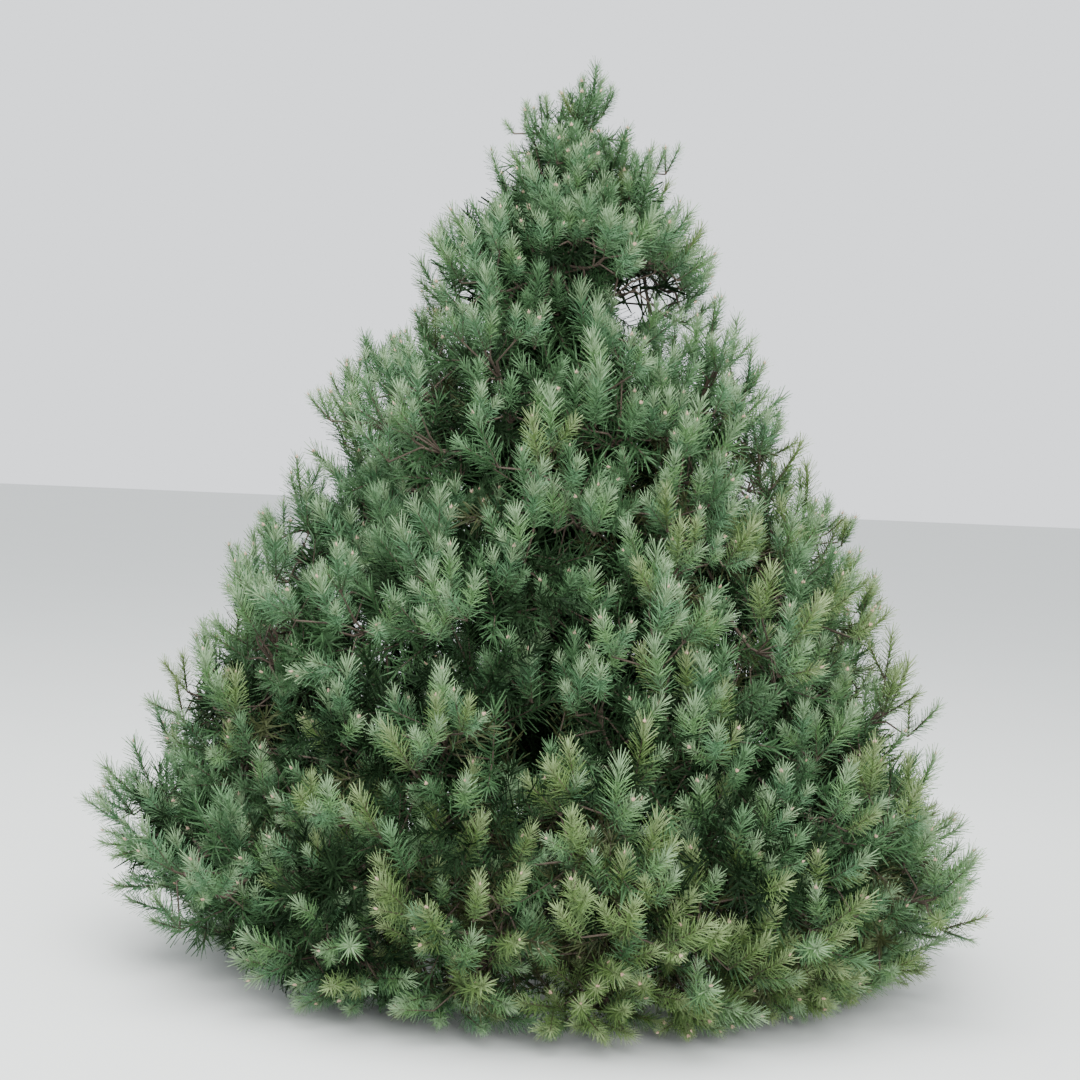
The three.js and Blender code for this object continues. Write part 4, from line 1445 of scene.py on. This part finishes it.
spray.ends_in(spray.add("GeometryNodeInstanceOnPoints", {}, {
    "Points": needle_roots,
    "Instance": spray.add("GeometryNodeObjectInfo", {}, {"Object": spray.given("Needle")}, 4),
    "Rotation": needle_leant,
    "Scale": spray.combined(X=needle_width, Y=needle_width, Z=needle_reach)}))

dealt = Growth("forms_on_shoots", {"Forms": "Collection"})
form_upright = dealt.add("FunctionNodeAlignRotationToVector", {"axis": "Z"}, {
    "Vector": dealt.attribute("way", "FLOAT_VECTOR")})
form_turn = dealt.add("FunctionNodeAlignRotationToVector", {"axis": "X", "pivot_axis": "Z"}, {
    "Rotation": form_upright, "Vector": (0, 0, 1)})
dealt.ends_in(dealt.add("GeometryNodeInstanceOnPoints", {}, {
    "Points": dealt.given("Geometry"),
    "Instance": dealt.add("GeometryNodeCollectionInfo", {}, {
        "Collection": dealt.given("Forms"), "Separate Children": True, "Reset Children": True}),
    "Pick Instance": True,
    "Instance Index": dealt.attribute("form", "INT"),
    "Rotation": form_turn,
    "Scale": dealt.attribute("size")}))


def needle_finish(name, dark, pale, gloss=0.35):
    """Waxy needles of one tone, a little darker here and paler there."""
    finish = Surface(name, {"Specular IOR Level": gloss})
    place = finish.place()
    drift = finish.noise(place, 9, 2) * 0.6 + finish.noise(place, 45, 2) * 0.4
    finish.set({
        "Base Color": finish.mix(finish.between(drift, 0.32, 0.68), dark + (1,), pale + (1,)),
        "Roughness": drift * 0.2 + 0.4,
    })
    return finish


# Each tone's darker and paler colour. The tones of the bases, of the sunken shoots and their tips,
# and of the inner and core needles are darkened as painted shade; the pale and warm tips are paler
# partly as fresh growth and partly as painted highlight.
TONES = {name: needle_finish(name, *values) for name, *values in (
    ("needle_bases", (0.052, 0.118, 0.048), (0.080, 0.168, 0.071)),
    ("needle_bases_warm", (0.064, 0.116, 0.036), (0.096, 0.160, 0.054)),
    ("needles_deep", (0.046, 0.110, 0.043), (0.072, 0.158, 0.064)),
    ("needles_blue", (0.062, 0.146, 0.066), (0.094, 0.204, 0.097)),
    ("needles_sage", (0.086, 0.180, 0.063), (0.132, 0.250, 0.098)),
    ("needles_olive", (0.092, 0.160, 0.045), (0.140, 0.220, 0.070)),
    ("needle_tips_dim", (0.078, 0.160, 0.072), (0.120, 0.225, 0.106)),
    ("needle_tips_pale", (0.138, 0.226, 0.114), (0.212, 0.314, 0.172)),
    ("needle_tips_warm", (0.145, 0.212, 0.084), (0.212, 0.280, 0.124)),
    # The inner needles are darkened as painted shade; the dull ones are browner as well, like old
    # needles.
    ("needles_shade", (0.027, 0.066, 0.025), (0.048, 0.104, 0.042), 0.15),
    ("needles_dull", (0.028, 0.038, 0.014), (0.050, 0.060, 0.024), 0.15),
    # The core's near-black needles are painted shade.
    ("needles_old", (0.006, 0.015, 0.006), (0.012, 0.026, 0.010), 0.05),
)}


def dotted_mesh(name, bearers):
    """A loose point for each shoot, with its direction, size and form."""
    return plain_mesh(name, [shoot.start for shoot in bearers], marks={
        "way": ("FLOAT_VECTOR", [part for shoot in bearers for part in shoot.way]),
        "size": ("FLOAT", [shoot.size for shoot in bearers]),
        "form": ("INT", [shoot.form for shoot in bearers])})


def patch(shoot):
    """A slow change of tone over the crown, with a play of its own for each shoot."""
    x, y, z = shoot.start
    slow = 0.7 * x - 0.7 * z + 0.4 * sin(5 * y + 1) + 0.5 * sin(6 * z + 3 * x)
    return slow + PATCH_PLAY * shoot.patch_play


def light(shoot):
    """How little a shoot is sunk between the lumps, with a play of its own: the least get the tones of
    painted shade.
    """
    return SHADE_PLAY * shoot.light_play - shoot.shade


def dealt_out(bearers, shares):
    """The shoots in their order, cut into runs that are each a share of them all."""
    first = 0.0
    runs = {}
    for name, share in shares.items():
        runs[name] = bearers[round(first * len(bearers)):round((first + share) * len(bearers))]
        first += share
    return runs


# The outer shoots sunk furthest between and under the lumps get a darker tone and dimmer tips
# throughout, as painted shade.
outer = sorted((shoot for shoot in shoots if shoot.kind == "outer"), key=light)
inner = sorted((shoot for shoot in shoots if shoot.kind == "inner"), key=patch)
core = [shoot for shoot in shoots if shoot.kind == "core"]
levels = dealt_out(outer, {"shaded": 0.27, "lit": 0.73})
lit = dealt_out(sorted(levels["lit"], key=patch), {"blue": 0.36, "sage": 0.36, "olive": 0.28})
inner_runs = dealt_out(inner, {"shade": 0.72, "dull": 0.28})

# The pieces of needles: each one's name, its spray and tone, and the shoots that bear it
NEEDLE_PIECES = [
    ("needle_bases", "base", "needle_bases", lit["blue"] + lit["sage"]),
    ("needle_bases_warm", "base", "needle_bases_warm", lit["olive"]),
    ("needles_deep", "body", "needles_deep", levels["shaded"]),
    ("needles_deep_bases", "base", "needles_deep", levels["shaded"]),
    ("needles_blue", "body", "needles_blue", lit["blue"]),
    ("needles_sage", "body", "needles_sage", lit["sage"]),
    ("needles_olive", "body", "needles_olive", lit["olive"]),
    ("needle_tips_dim", "tip", "needle_tips_dim", levels["shaded"]),
    ("needle_tips_pale", "tip", "needle_tips_pale", lit["blue"] + lit["sage"]),
    ("needle_tips_warm", "tip", "needle_tips_warm", lit["olive"]),
    ("needles_shade", "inner", "needles_shade", inner_runs["shade"]),
    ("needles_dull", "inner", "needles_dull", inner_runs["dull"]),
    ("needles_old", "core", "needles_old", core),
]


def store(name, masters):
    """A collection of the forms that are dealt out to the shoots."""
    forms = bpy.data.collections.new(name)
    bpy.context.scene.collection.children.link(forms)
    for master in masters:
        forms.objects.link(master)
    return forms


def clear(forms):
    for master in list(forms.objects):
        bpy.data.objects.remove(master)
    bpy.data.collections.remove(forms)


needle = new_object("needle", needle_mesh())
sprays = {}
for kind, values in SPRAYS.items():
    names = [f"{kind}_{form}" for form in range(SPRAY_FORMS)]
    masters = [bpy.data.objects.new(name, bpy.data.meshes.new(name)) for name in names]
    sprays[kind] = store(f"{kind}_sprays", masters)
    for seed, master in enumerate(masters, 1):
        spray.grow(master, TONES["needles_deep"], {
            **values, "Needle": needle, "Shoot Length": SHOOT_LENGTH, "Shoot Bend": SHOOT_BEND,
            "Tilt Play": TILT_PLAY, "Seed": seed})
for name, kind, tone, bearers in NEEDLE_PIECES:
    dots = new_object(name, dotted_mesh(name, bearers))
    piece = dealt.grow(dots, TONES[tone], {"Forms": sprays[kind]})
    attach(piece, "root")
    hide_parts(*foliage_nodes)
for forms in sprays.values():
    clear(forms)
bpy.data.objects.remove(needle)


# The buds
# Next year's buds sit at the ends of some shoots, a large one alone or with two or three small
# ones round it, closed in pale scales that are stuck together with resin.
BUD_LENGTH = 0.013
BUD_RADIUS = 0.0032
BUD_SIDES = 5
BUD_TILT = 0.55
BUD_WAIST = 0.4
BUD_CLUSTERS = (1, 3, 4)
BUD_SHARE = 0.3
BUD_PLACE = 1.05
SMALL_BUD = 0.7
BUD_BROWN = (0.300, 0.170, 0.105, 1)
BUD_PALE = (0.560, 0.420, 0.320, 1)


def bud_cluster(name, count):
    """An upright bud with smaller ones leaning out round it, as one object."""
    places, faces = [], []
    for i in range(count):
        turn = Quaternion(UP, tau * i / max(1, count - 1)) @ Quaternion((1, 0, 0), BUD_TILT if i else 0)
        length = BUD_LENGTH * (SMALL_BUD if i else 1)
        angles = [tau * j / BUD_SIDES for j in range(BUD_SIDES)]
        ring = [Vector((BUD_RADIUS * cos(a), BUD_RADIUS * sin(a), BUD_WAIST * length)) for a in angles]
        first = len(places)
        places.extend(turn @ corner for corner in (Vector((0, 0, 0)), *ring, length * UP))
        for j in range(BUD_SIDES):
            here, there = first + 1 + j, first + 1 + (j + 1) % BUD_SIDES
            faces.append((first, there, here))
            faces.append((here, there, first + 1 + BUD_SIDES))
    return bpy.data.objects.new(name, plain_mesh(name, places, faces=faces))


bud_finish = Surface("buds", {"Roughness": 0.55})
bud_tone = bud_finish.noise(bud_finish.place(), 60, 2)
bud_finish.set({"Base Color": bud_finish.mix(bud_tone, BUD_BROWN, BUD_PALE)})

bud_forms = store("bud_forms", [bud_cluster(f"buds_{count}", count) for count in BUD_CLUSTERS])
bud_places = []
for shoot in outer:
    if shoot.bud_chance < BUD_SHARE:
        end = shoot_point(shoot, BUD_PLACE)
        bud_places.append(SimpleNamespace(
            start=end, way=(end - shoot_point(shoot, 0.9)).normalized(), size=1.0,
            form=int(shoot.bud_chance / BUD_SHARE * len(BUD_CLUSTERS))))
buds = dealt.grow(new_object("buds", dotted_mesh("buds", bud_places)), bud_finish, {"Forms": bud_forms})
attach(buds, "root")
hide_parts(*foliage_nodes)
clear(bud_forms)
